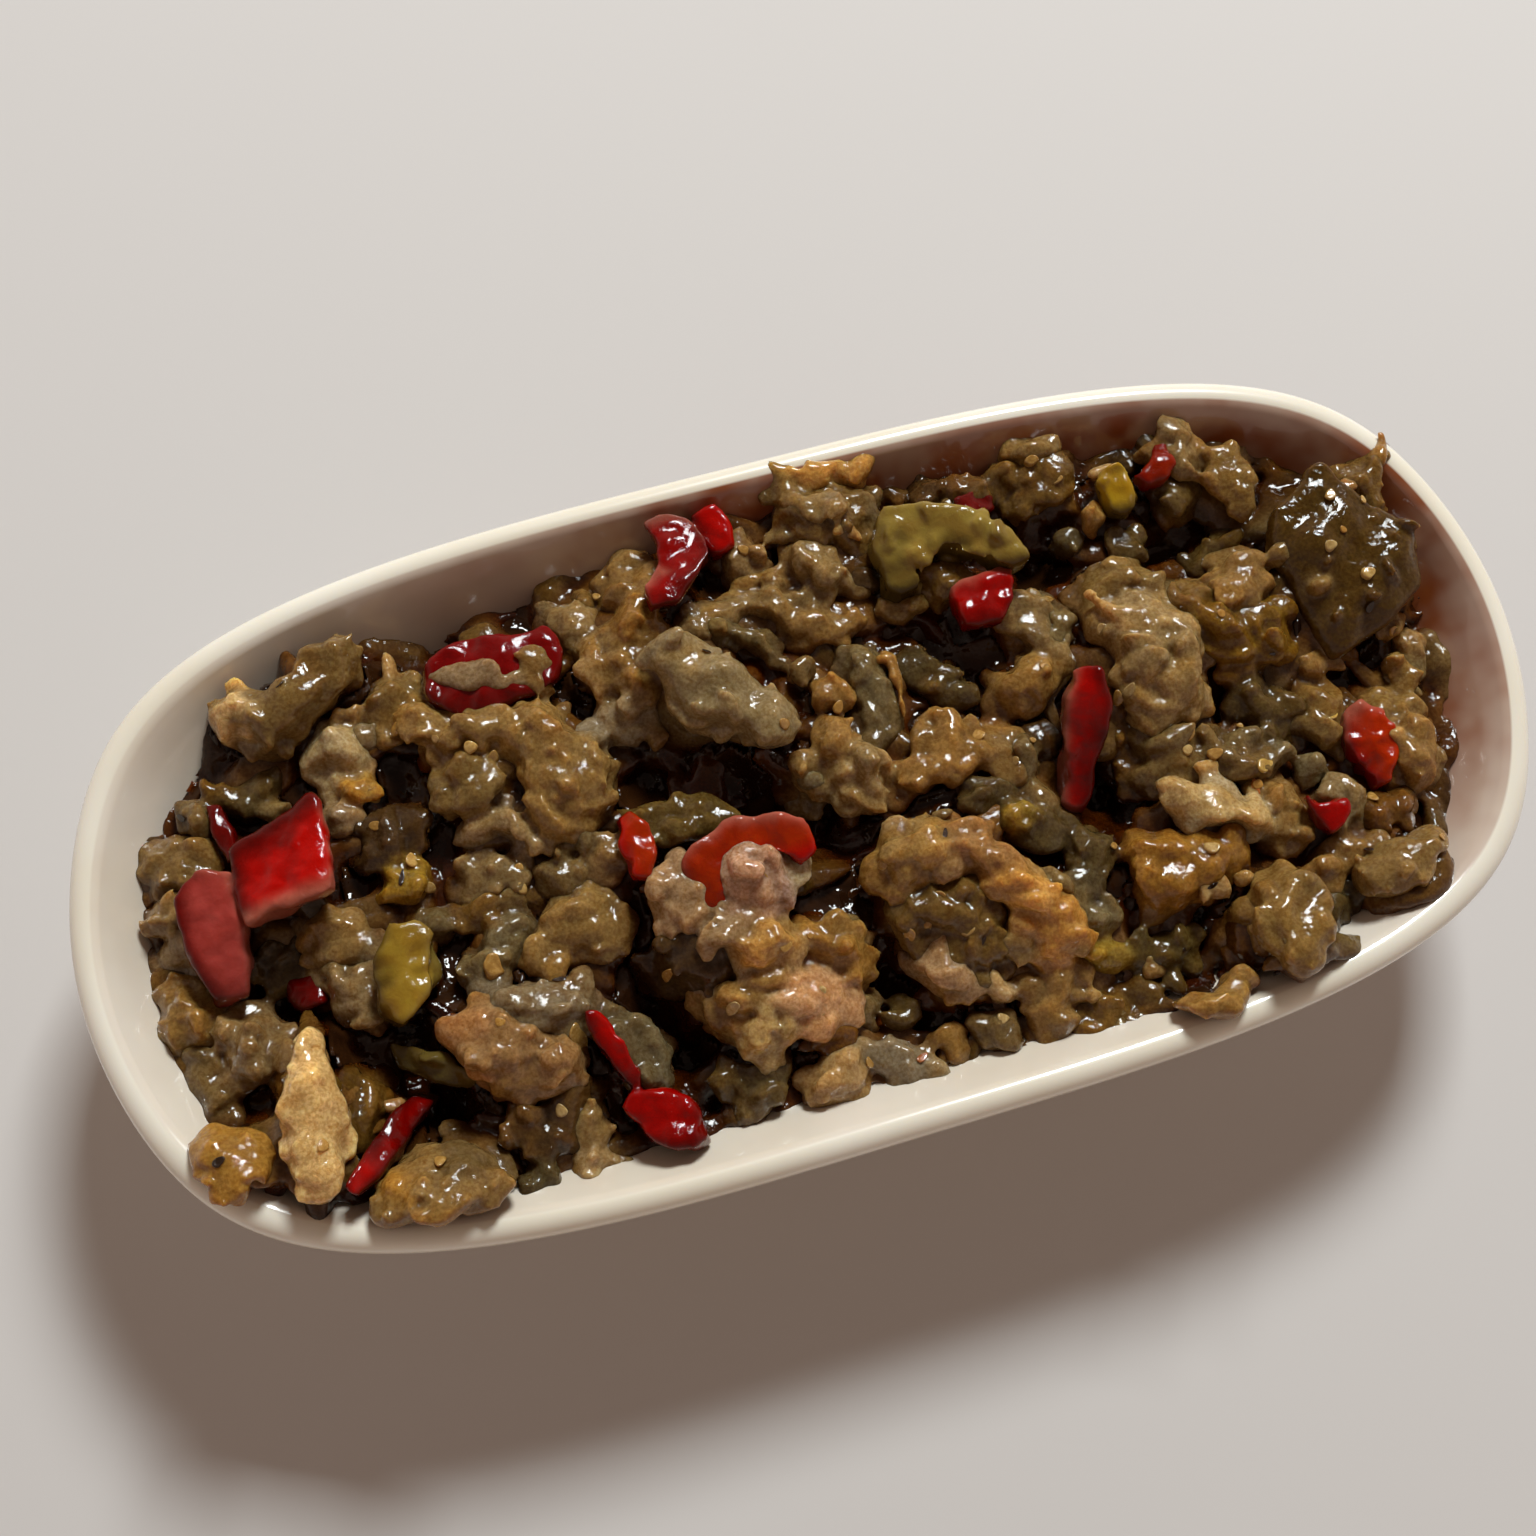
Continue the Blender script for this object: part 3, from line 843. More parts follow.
# tone, place, length, width, thickness, how far the top stands above the heap, turn, graininess
knobs = [
    ("golden", -60, 17.6, 6, 3.5, 4, 0.8, 0, 0.0), ("paleWhite", -61.5, 21.5, 9, 8, 7, 2.2, 20, 0.02), ("tan", -60, 27, 3, 2, 2, 1.2, 30, 0.0),
    ("tan", -57.5, 27, 3, 2, 2, 1.2, 60, 0.0), ("greyTan", -57, 24, 5, 4, 4, 1.0, 10, 0.05), ("oliveTan", -54, 28, 5, 4, 4, 1.4, 30, 0.1),
    ("oliveTan", -51.5, 25.5, 6, 6, 5, 1.2, 0, 0.12), ("oliveTan", -49.5, 29, 3, 5, 4, 1.0, 0, 0.08), ("pale", -51.8, 32.5, 2, 5, 2, 1.6, -8, 0.0),
    ("tan", -54, 22.5, 4, 3, 3, 0.8, 0, 0.0), ("greyDark", -73, 20.5, 9, 6, 5, 0.2, 30, 0.1), ("clearGrey", -71, 17.5, 5, 3, 3, 0.8, 0, 0.0),
    ("pinkGrey", -63, 13.5, 5, 5, 4, 0.8, 0, 0.05), ("brownDark", -57.5, 9.5, 10, 9, 6, 0.6, 30, 0.3), ("yellowOlive", -57, 2.8, 6, 5.6, 5, 1.4, 60, 0.0),
    ("clearGrey", -54.5, -3.5, 6, 4, 4, 0.8, 20, 0.0), ("oliveTan", -46, 13, 8, 7, 6, 2.4, 10, 0.0), ("tan", -33.7, 6.3, 3.6, 3.2, 3.4, 2.2, 0, 0.0),
    ("pale", -46.5, 7, 3, 2, 2, 1.4, 20, 0.0), ("grey", -44, -3, 3.5, 3, 3, 0.8, 0, 0.0), ("oliveBrown", -48, -4, 6, 5, 4, 0.6, 0, 0.05),
    ("grey", -37.5, -2, 6, 6, 5, 0.8, 0, 0.05), ("greyTan", -31.5, -1.5, 5, 6, 5, 0.8, 20, 0.05), ("grey", -35, 2.5, 5, 4, 4, 0.6, 0, 0.05),
    ("salmon", -54.5, -18.5, 7, 5, 5, 2.2, -30, 0.04), ("salmon", -52.5, -23.5, 5, 4, 4, 2.2, 30, 0.02), ("tan", -51, -26.5, 4, 3, 3, 1.6, 0, 0.0),
    ("brownDark", -47, -33.5, 8, 7, 5, 0.6, 0, 0.12), ("brown", -43.5, -31, 6, 5, 5, 0.4, 30, 0.08), ("brown", -50.5, -32, 5, 6, 5, 0.4, 0, 0.1),
    ("tanGrey", -42, -34.5, 6, 6, 5, 1.0, 0, 0.1), ("greyDark", -50, -39.5, 6, 4, 4, 0.6, 0, 0.05), ("grey", -23.8, 35, 3, 5, 4, 0.8, -10, 0.0),
    ("greyWhite", -22, 16.5, 7, 6, 5, 1.4, 0, 0.06), ("greyWhite", -27.8, 16, 5, 4, 4, 1.2, 0, 0.02), ("pinkTan", -19.8, 12.6, 2.6, 2.6, 2.5, 1.0, 0, 0.0),
    ("oliveBrown", 25, 23.4, 8, 5, 4, 1.4, -20, 0.05), ("tan", -1.5, 3, 6, 5, 5, 1.4, -40, 0.04), ("grey", -1, 0.5, 5, 4, 4, 0.8, 0, 0.05), ("tan", 11, 21.8, 4, 3, 3, 1.4, 20, 0.0),
    ("tan", 16, 22.5, 4, 3, 3, 0.8, 0, 0.0), ("oliveTan", 18, 21.5, 6, 3, 3, 0.8, 10, 0.0), ("tan", -1.5, 31.5, 5, 3, 3, 0.8, 0, 0.0),
    ("tan", 2.3, 31.7, 3, 2.5, 2.5, 0.8, 0, 0.0), ("grey", 3.5, 36.5, 3, 2, 2, 0.8, 0, 0.0), ("brownDark", 14, 27.5, 5, 4, 4, 0.2, 0, 0.1),
    ("brown", 31, 37.5, 4, 3.6, 4, 2.4, 0, 0.05), ("brown", 33.3, 36.8, 4, 3.6, 4, 2.2, 0, 0.0), ("oliveBrown", 34, 34.5, 3.2, 3, 3, 1.8, 0, 0.0),
    ("pinkTan", 33, 29.5, 4, 3, 3, 0.8, 0, 0.0), ("tanOlive", 41.5, 40.3, 7, 5.4, 5, 3.0, -20, 0.15), ("oliveBrown", 42.5, 35.5, 10, 9.5, 8, 2.0, 0, 0.5),
    ("brown", 45.5, 36, 3, 6, 4, 2.0, 0, 0.1), ("tan", 48.7, 27.5, 3.2, 3, 3, 1.2, 0, 0.0), ("pale", 51.3, 33.6, 4.5, 1.6, 1.6, 2.4, 10, 0.0),
    ("greyDark", 51.5, 22.5, 4.5, 6, 4, 0.4, 0, 0.02), ("greyDark", 44.5, 25.5, 5, 4, 4, 0.2, 20, 0.05), ("tan", 65.5, 34, 3, 3, 3, 2.4, 0, 0.0),
    ("amberPale", 46.5, 3.5, 6, 4, 4, 3.6, 30, 0.02), ("amberPale", 50, 0.5, 8, 4, 4, 3.4, 20, 0.02), ("tanGrey", 48, -3, 6, 3.4, 3, 3.0, 10, 0.0),
    ("pale", 51, -11.3, 3.8, 2, 2, 2.2, 0, 0.0), ("clearGrey", 57.5, -8.5, 4, 3, 3, 1.6, 0, 0.0), ("amberPale", 50.2, -27.2, 3, 2.6, 2.6, 2.2, 0, 0.0),
    ("clearGrey", 66, -15.5, 5, 4, 4, 1.0, 0, 0.0), ("clearGrey", 61.5, -12.7, 4, 2.5, 2.5, 1.4, 20, 0.0), ("tanGrey", 68, -20.5, 6, 8, 5, 0.8, 0, 0.04),
    ("pale", 82, -13.3, 3, 3, 3, 2.6, 0, 0.0), ("pale", 78, -14, 2.4, 2.2, 2.2, 2.2, 0, 0.0), ("oliveTan", 83.5, -3.8, 3.4, 3, 3, 1.6, 0, 0.0),
    ("oliveTan", 84, -7, 3.4, 3, 3, 1.8, 0, 0.0), ("clearGrey", 86, -5, 4.5, 5, 4, 1.0, 0, 0.0), ("greyTan", 87.5, -1, 5, 5, 4, 0.8, 0, 0.05),
    ("tan", 85, 1.5, 5, 3, 3, 1.0, 30, 0.0), ("tan", 71.5, -1, 5, 4, 4, 1.0, 0, 0.0), ("brownPink", 57.5, 13, 6, 4.5, 5, 2.0, 0, 0.03),
    ("oliveTan", 88, 12, 3.4, 3, 3, 1.4, 0, 0.0), ("oliveTan", 88.3, 8, 3.4, 3, 3, 1.2, 0, 0.0), ("tan", 87.5, 5.3, 3.2, 3, 3, 1.2, 0, 0.0),
    ("pink", 84, 21.5, 2.8, 2.5, 2.5, 2.4, 0, 0.0), ("grey", 2, 16, 3.4, 3, 3, 0.8, 0, 0.0), ("tan", 4, 12.3, 5.5, 4.5, 4, 1.6, 40, 0.04),
    ("tan", 3, 6.5, 6, 6, 5, 1.4, 0, 0.08), ("amberPale", 4, -0.5, 7.5, 8, 6, 2.8, 20, 0.1), ("greyDark", 17, 13, 5, 6, 5, 0.2, 0, 0.3),
    ("greyDark", 19.5, 10, 5, 4, 4, 0.2, 0, 0.3), ("greyDark", 22.5, 7.5, 5, 4, 4, 0.2, 0, 0.3), ("grey", 26.8, -2.5, 2.5, 4, 3, 1.2, 0, 0.0),
    ("pale", 7, -7.5, 3.5, 1.6, 1.8, 1.6, 10, 0.0), ("grey", 13.5, -8.3, 4, 1.8, 2, 1.2, 0, 0.0), ("amberPale", 25.5, -29.5, 2.4, 2.2, 2.2, 2.6, 0, 0.0),
    ("pinkTan", 18, -27.5, 4.5, 5, 5, 1.8, 0, 0.05), ("pale", 14.5, -31.8, 2.6, 4.5, 3, 0.8, 0, 0.0), ("amber", 8.3, -31.3, 2.8, 2.6, 2.6, 0.6, 0, 0.0),
    ("pale", 8, -21.5, 3.2, 1.4, 1.6, 1.8, 20, 0.0), ("greyDark", 31.5, -18.5, 7, 7, 5, 0.4, 0, 0.2), ("greyDark", 30, -23, 4.4, 4.2, 4, 0.4, 0, 0.08),
    ("clearGrey", 31, -27, 5, 4, 4, 0.6, 0, 0.0), ("pinkTan", 35.7, -35.5, 3.5, 2.5, 2.5, 0.8, 0, 0.0), ("amberPale", 26.7, -36.6, 2.6, 2.2, 2.2, 1.8, 0, 0.0),
    ("tan", 29, -41.2, 3, 2.4, 2.4, 1.4, 0, 0.0), ("yellowOlive", 23.7, -11.5, 4.5, 3, 3, 1.4, 0, 0.0), ("greyDark", 20, -7, 8, 5, 4, 0.0, 0, 0.08),
    ("brown", -8.5, -32.3, 7, 2.8, 3, 0.6, 0, 0.0), ("tanOlive", 6.8, -37.5, 3.4, 5, 4, 0.6, 0, 0.04), ("brownPink", 13, -37, 6.5, 5, 4.5, 0.8, 0, 0.12),
    ("greyDark", 2.5, -31, 5, 4, 4, 0.0, 0, 0.05), ("greyDark", -18.5, -35, 9, 6, 5, 0.4, 20, 0.08), ("greyDark", -23, -33, 4, 6, 4, 0.2, 0, 0.05),
    ("grey", -21.5, -38, 4.4, 3.4, 3, 0.4, 0, 0.0), ("pinkGrey", -18.5, -15.5, 6, 4, 4, 2.6, -10, 0.04), ("grey", -3, -18.5, 5, 3, 3, 1.0, 0, 0.0),
    ("grey", -2.5, -29, 3.4, 4, 4, 0.8, 0, 0.04), ("brownDark", 31, -1, 6, 6, 4, 0.2, 0, 0.05), ("oliveTan", 71.7, 14.5, 3.6, 3.4, 3.4, 2.0, 0, 0.0),
]

# the firm pieces that keep their own shape
firmSlabs = [
    ("oliveTan", 7, 1.6, 0.05, [(-76, 30.5), (-74.5, 32.3), (-71, 33), (-68, 33), (-65, 34), (-62.5, 36.5), (-59, 37), (-56, 36), (-55, 34), (-56.5, 30.5), (-61, 28), (-66, 25.5), (-70, 23.7), (-72, 25), (-75, 28)]),
    ("palest", 6, 1.8, 0.04, [(-74.5, -13.5), (-73, -13), (-71, -16.5), (-70.5, -20), (-70, -25), (-72, -30), (-75, -33.8), (-77.5, -33.5), (-78.5, -28), (-78, -22), (-76, -17)]),
    ("golden", 4.5, 1.4, 0.12, [(-91, -24), (-88, -22.3), (-84, -22.2), (-80.5, -24.5), (-80.5, -29), (-82, -30.5), (-84.5, -30.3), (-85, -31.7), (-88, -31), (-89.5, -27)]),
    ("amberClear", 6, 2.6, 0.03, [(-16.5, 24), (-13.5, 24.5), (-11, 22), (-8.5, 18.5), (-5.5, 14), (-2.5, 11.5), (-1.5, 8), (-3.5, 5.5), (-6.5, 5), (-9, 7.5), (-12.5, 10), (-15.5, 12.5), (-17, 17), (-17.5, 21)]),
    ("brownOlive", 4.5, 1.2, 0.04, [(80.5, 25.2), (75, 22.5), (70, 18), (70, 13.5), (71, 8), (72.5, 3), (75, -1.5), (79, -1), (83, 1), (87.5, 3), (89.5, 6), (89.5, 11.5), (87, 17), (84.5, 18.5)]),
    ("oliveTan", 8, 1.8, 0.04, [(50, -30), (51.5, -28), (55, -26.5), (57, -29), (58.5, -33.5), (58.8, -37.5), (56.5, -41), (52.5, -42.3), (50, -40.5), (49.5, -36)]),
    ("amber", 3.5, 1.0, 0.06, [(35.5, -40.5), (38, -39.8), (40, -41), (42.5, -39.5), (45.5, -38.8), (46, -41.5), (43, -44.3), (40, -44.5), (37, -42.5)]),
    ("amberBrown", 5, 1.2, 0.08, [(66, -31), (69, -28.3), (72, -28.2), (75, -27.8), (78.3, -28), (79, -30.5), (76, -33), (72, -34.3), (68, -35.3), (65.5, -34)]),
    ("amberBrown", 6, 1.2, 0.1, [(-70.5, -36), (-67.5, -33), (-65, -30.8), (-61, -30.5), (-57.5, -32), (-54.5, -35), (-52.5, -37.5), (-55, -40.5), (-60, -41), (-66, -40.8), (-70, -38.8)]),
]
firmKnobs = [
    ("palest", -73.3, 30, 6, 5.6, 5.6, 2.2, 30, 0.0), ("golden", -66, -36.5, 7, 5, 5, 2.0, -15, 0.0), ("grey", -58, -35, 8, 6, 5, 1.8, -20, 0.05),
    ("amberPale", 68.6, -33, 3.2, 3, 3, 2.0, 0, 0.0), ("oliveTan", 74.5, 8.5, 2.8, 2.6, 2.6, 2.0, 0, 0.0), ("amberClear", -14, 20.5, 5, 7, 4, 3.2, 30, 0.0),
]

grainTones = {"spread": 0.16, "paler": 1.22}


def fringe(pile, rng, tone, thick, rise, outline):
    # softer bits of the same flesh against its sides, so that a piece runs into what is round it
    edge = closedCurve(outline, 40)
    centre = edge.mean(0)
    length = np.hypot(*(edge - np.roll(edge, 1, 0)).T).sum()
    for _ in range(int(length / 3.2)):
        x, y = centre + (edge[rng.integers(40)] - centre) * rng.uniform(0.82, 0.98) + rng.normal(0, 0.6, 2)
        if insetField.at(x, y) < 4.5:
            continue
        size = rng.uniform(2.0, min(5.0, thick))
        top = rise - rng.uniform(0.5, 0.55 * thick)
        shape = lump(rng, x, y, top, size * rng.uniform(1.1, 1.9), size, size * 0.9, rng.uniform(0, 180), curve=rng.uniform(-0.6, 0.6), rough=0.8)
        pile.add(shape, varied(rng, tone, 0.12) * rng.uniform(0.75, 1.0))


def cook(pile, rng, slabRows, knobRows, crumbs=True, stringy=1.0):
    for tone, thick, rise, grain, outline in slabRows:
        body = thick * 1.3 + 0.8 if thick > 2.6 else thick
        dress(pile, rng, pillow(rng, outline, rise, body, tilt=rng.uniform(-0.1, 0.1, 2), rough=0.8), tone, grain, thick, stringy)
        if crumbs and thick > 2.6:
            fringe(pile, rng, tone, thick, rise, outline)
    for tone, x, y, length, width, thick, rise, yaw, grain in knobRows:
        body = thick * 1.25 if thick > 2.6 else thick
        shape = lump(rng, x, y, rise, length, width, body, yaw, curve=rng.uniform(-0.5, 0.5), taper=rng.uniform(0.7, 1.1), rough=0.8)
        dress(pile, rng, shape, tone, grain, thick, stringy)


def dress(pile, rng, shape, tone, grain, thick, stringy):
    # the shape itself, then the nodules, grains and torn shreds on it
    points, faces = shape
    base = varied(rng, tone)
    pile.add((points, faces), base)
    area = topArea(points, faces)
    heading = longWay(points)
    fibres = rng.poisson(area * (0.065 if thick > 2.4 else 0.0) * stringy)
    for place, outward in zip(*onSurface(rng, points, faces, fibres, -0.1)):
        width = rng.uniform(1.8, min(3.8, 1.7 + thick / 3))
        shape = strand(rng, place, outward, heading + rng.normal(0, 0.5), width * rng.uniform(1.5, 2.7), width)
        pile.add(shape, shifted(rng, base) * rng.uniform(0.80, 1.25))
    knobby = rng.poisson(area * (0.016 * stringy + 0.07 * grain))
    for place, outward in zip(*onSurface(rng, points, faces, knobby, 0.1)):
        size = rng.uniform(1.4, min(3.4, 1.4 + thick / 2))
        pile.add(smallLump(rng, place, outward, size, 1.5, rng.uniform(0.0, 0.2)), base * rng.uniform(0.85, 1.18))
    fine = rng.poisson(area * (0.010 + 0.36 * grain))
    for place, outward in zip(*onSurface(rng, points, faces, fine, 0.0)):
        paler = rng.uniform(0.9, grainTones["paler"])
        pile.add(smallLump(rng, place, outward, rng.uniform(0.8, 1.5), 1.5, rng.uniform(0.15, 0.4)), base * paler)
    shreds = rng.poisson(area * 0.0025 * (thick > 2))
    for place, outward in zip(*onSurface(rng, points, faces, shreds, -0.1)):
        length = rng.uniform(2.0, 3.8)
        pile.add(sliver(rng, place, outward, length, length * rng.uniform(0.5, 0.8), rng.uniform(1.0, 1.5)), base * rng.uniform(0.95, 1.2))


darkTones = {"brownOlive", "oliveAmber", "amberDeep", "greyPale", "olive", "grey", "greyDark", "clearGrey", "clearOlive", "oliveDark", "oliveBrown", "brown", "brownDark", "brownPink", "brownAmber", "amberDark", "greyTan", "yellowOlive"}


def rowsOf(rows, dark):
    return [row for row in rows if (row[0] in darkTones) == dark]


paleFlesh, smokyFlesh, firmFlesh, bed = Pile(), Pile(), Pile(), Pile()
cook(paleFlesh, np.random.default_rng(11), rowsOf(slabs, False), rowsOf(knobs, False))
cook(smokyFlesh, np.random.default_rng(12), rowsOf(slabs, True), rowsOf(knobs, True))
cook(firmFlesh, np.random.default_rng(13), firmSlabs, firmKnobs, crumbs=False, stringy=0.25)
print("chopped flesh shaped")


# ---------- soft mash underneath, with small bits all through it ----------

mash = {
    "underPieces": 1.8,  # how far the smooth part lies under the heap's top beneath a big piece
    "inGaps": 5.2,  # and in the open gaps between the big pieces
    "bits": 1200,
    "smallest": 1.8,
    "largest": 5.0,
    "tones": ["olive", "greyDark", "brown", "oliveDark", "clearOlive", "brownDark", "oliveBrown", "oliveTan", "greyTan", "brownPink", "amberDark"],
    "morsels": 420,
    "morselTones": ["oliveTan", "tanGrey", "greyTan", "grey", "clearGrey", "brownPink", "oliveBrown", "tan", "brown", "clearOlive"],
}

# where the gaps go deepest: place, length, width, turn, how much deeper
hollows = [
    (-74, -8, 7, 5, 0, 2.5), (-60, -23, 5, 14, 10, 4), (-27, -29, 8, 20, 5, 4), (-22, 8, 9, 8, 0, 3), (-4, -4, 12, 7, -20, 3.5),
    (-24, 17, 5, 7, 0, 2), (38, 27, 12, 14, 0, 4), (62, 24, 9, 5, 0, 2.5), (38, -12, 6, 16, 0, 4), (2, -30, 6, 12, 0, 3),
    (27, -15, 6, 5, 0, 2.5), (58, 0, 4, 14, 0, 3), (44, -34, 6, 12, 0, 3.5), (-79, -5, 5, 6, 0, 2), (-60, 13, 14, 8, 20, 2),
    (-33, -6, 6, 18, 0, 2), (72, -3, 3, 10, -10, 2), (28, 33, 8, 7, 20, 2.5), (55, 22, 6, 8, 0, 3), (6, 8, 3, 14, 0, 2),
    (-30, 32, 8, 6, 0, 2), (-48, -31, 8, 6, 0, 1.5), (20, 16, 8, 8, 0, 2), (-12, -1, 10, 5, -10, 2),
]


def insideOutline(corners, x, y):
    inside = np.zeros(x.shape, bool)
    for (ax, ay), (bx, by) in zip(corners, corners[1:] + corners[:1]):
        crosses = (ay > y) != (by > y)
        inside ^= crosses & (x < (bx - ax) * (y - ay) / ((by - ay) or 1e-9) + ax)
    return inside


def gapDepths(step):
    x, y = gridPoints(step)
    covered = np.zeros(x.shape)
    for tone, thick, rise, grain, corners in slabs + firmSlabs:
        weight = 0.35 if tone in ("greyDark", "clearGrey", "clearOlive", "brownDark", "oliveDark") else 1.0
        covered = np.maximum(covered, weight * insideOutline(corners, x, y))
    for tone, cx, cy, length, width, thick, rise, yaw, grain in knobs + firmKnobs:
        weight = 0.3 if tone in ("greyDark", "clearGrey", "clearOlive", "brownDark") else 0.9
        covered = np.maximum(covered, weight * (((x - cx) / length) ** 2 + ((y - cy) / width) ** 2 < 0.25))
    covered = np.clip(blurred(covered, 1.0 / step) * 1.15, 0, 1)
    depth = mash["inGaps"] + (mash["underPieces"] - mash["inGaps"]) * covered
    for cx, cy, length, width, turn, extra in hollows:
        a = math.radians(turn)
        u = ((x - cx) * math.cos(a) + (y - cy) * math.sin(a)) / (length / 2)
        v = ((y - cy) * math.cos(a) - (x - cx) * math.sin(a)) / (width / 2)
        depth += extra * np.exp(-0.7 * (u * u + v * v) ** 1.5) * (1 - 0.6 * covered)
    return depth


gap = Field(1.0, gapDepths(1.0))


def bedTop(x, y):
    return np.maximum(heap.at(x, y) - gap.at(x, y), wallField.at(x, y) + 0.4)


def fillBed():
    rng = np.random.default_rng(21)
    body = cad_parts["aubergine_mash"].data
    verts = np.array([v.co for v in body.vertices]) / mm
    faces = np.array([[f.vertices[0], f.vertices[k], f.vertices[k + 1]] for f in body.polygons for k in range(1, len(f.vertices) - 1)])
    verts[:, 2] = np.minimum(verts[:, 2], bedTop(verts[:, 0], verts[:, 1]))
    bed.add((verts, faces), linear(tones["bedDark"]))
    for number, sizes, toneNames, sunk in (
        (mash["bits"], (mash["smallest"], mash["largest"]), mash["tones"], (0.2, 2.4)),
        (mash["morsels"], (3.6, 7.5), mash["morselTones"], (0.8, 4.2)),
    ):
        placed = 0
        while placed < number:
            x, y = rng.uniform(-93, 93), rng.uniform(-45, 45)
            if cover.at(x, y) < 0.55:
                continue
            size = sizes[0] + (sizes[1] - sizes[0]) * rng.random() ** 1.7
            depth = float(heap.at(x, y) - bedTop(x, y))
            rise = min(rng.uniform(*sunk) - depth, -0.6)
            long, wide = size * rng.uniform(1.3, 2.4), size * rng.uniform(0.6, 0.95)
            shape = lump(rng, x, y, rise, long, wide, wide * rng.uniform(0.6, 0.95), rng.uniform(0, 180), curve=rng.uniform(-1.0, 1.0), rough=1.2)
            if insetField.at(shape[0][:, 0], shape[0][:, 1]).min() < 2:
                continue
            tone = toneNames[rng.integers(len(toneNames))]
            deeper = min(max((-rise - 1.0) / 5.0, 0), 1)
            bed.add(shape, varied(rng, tone, 0.14) * (0.84, 0.74, 0.58) * (1 - 0.6 * deeper))
            placed += 1


fillBed()
print("mash filled with bits")


# ---------- peppers ----------

pepperTones = {
    "redFace": (168, 5, 1),
    "redWet": (144, 4, 2),
    "redDeep": (96, 3, 1),
    "redSkin": (92, 9, 5),
    "crimson": (118, 5, 8),
    "redOrange": (160, 40, 3),
    "redSheen": (176, 66, 66),
    "redRust": (122, 26, 2),
    "redPale": (166, 92, 74),
    "greenPale": (142, 120, 54),
    "greenYellow": (148, 120, 40),
    "greenBright": (168, 134, 26),
    "greenDeep": (84, 66, 22),
    "greenLeaf": (98, 84, 46),
}
tones.update(pepperTones)

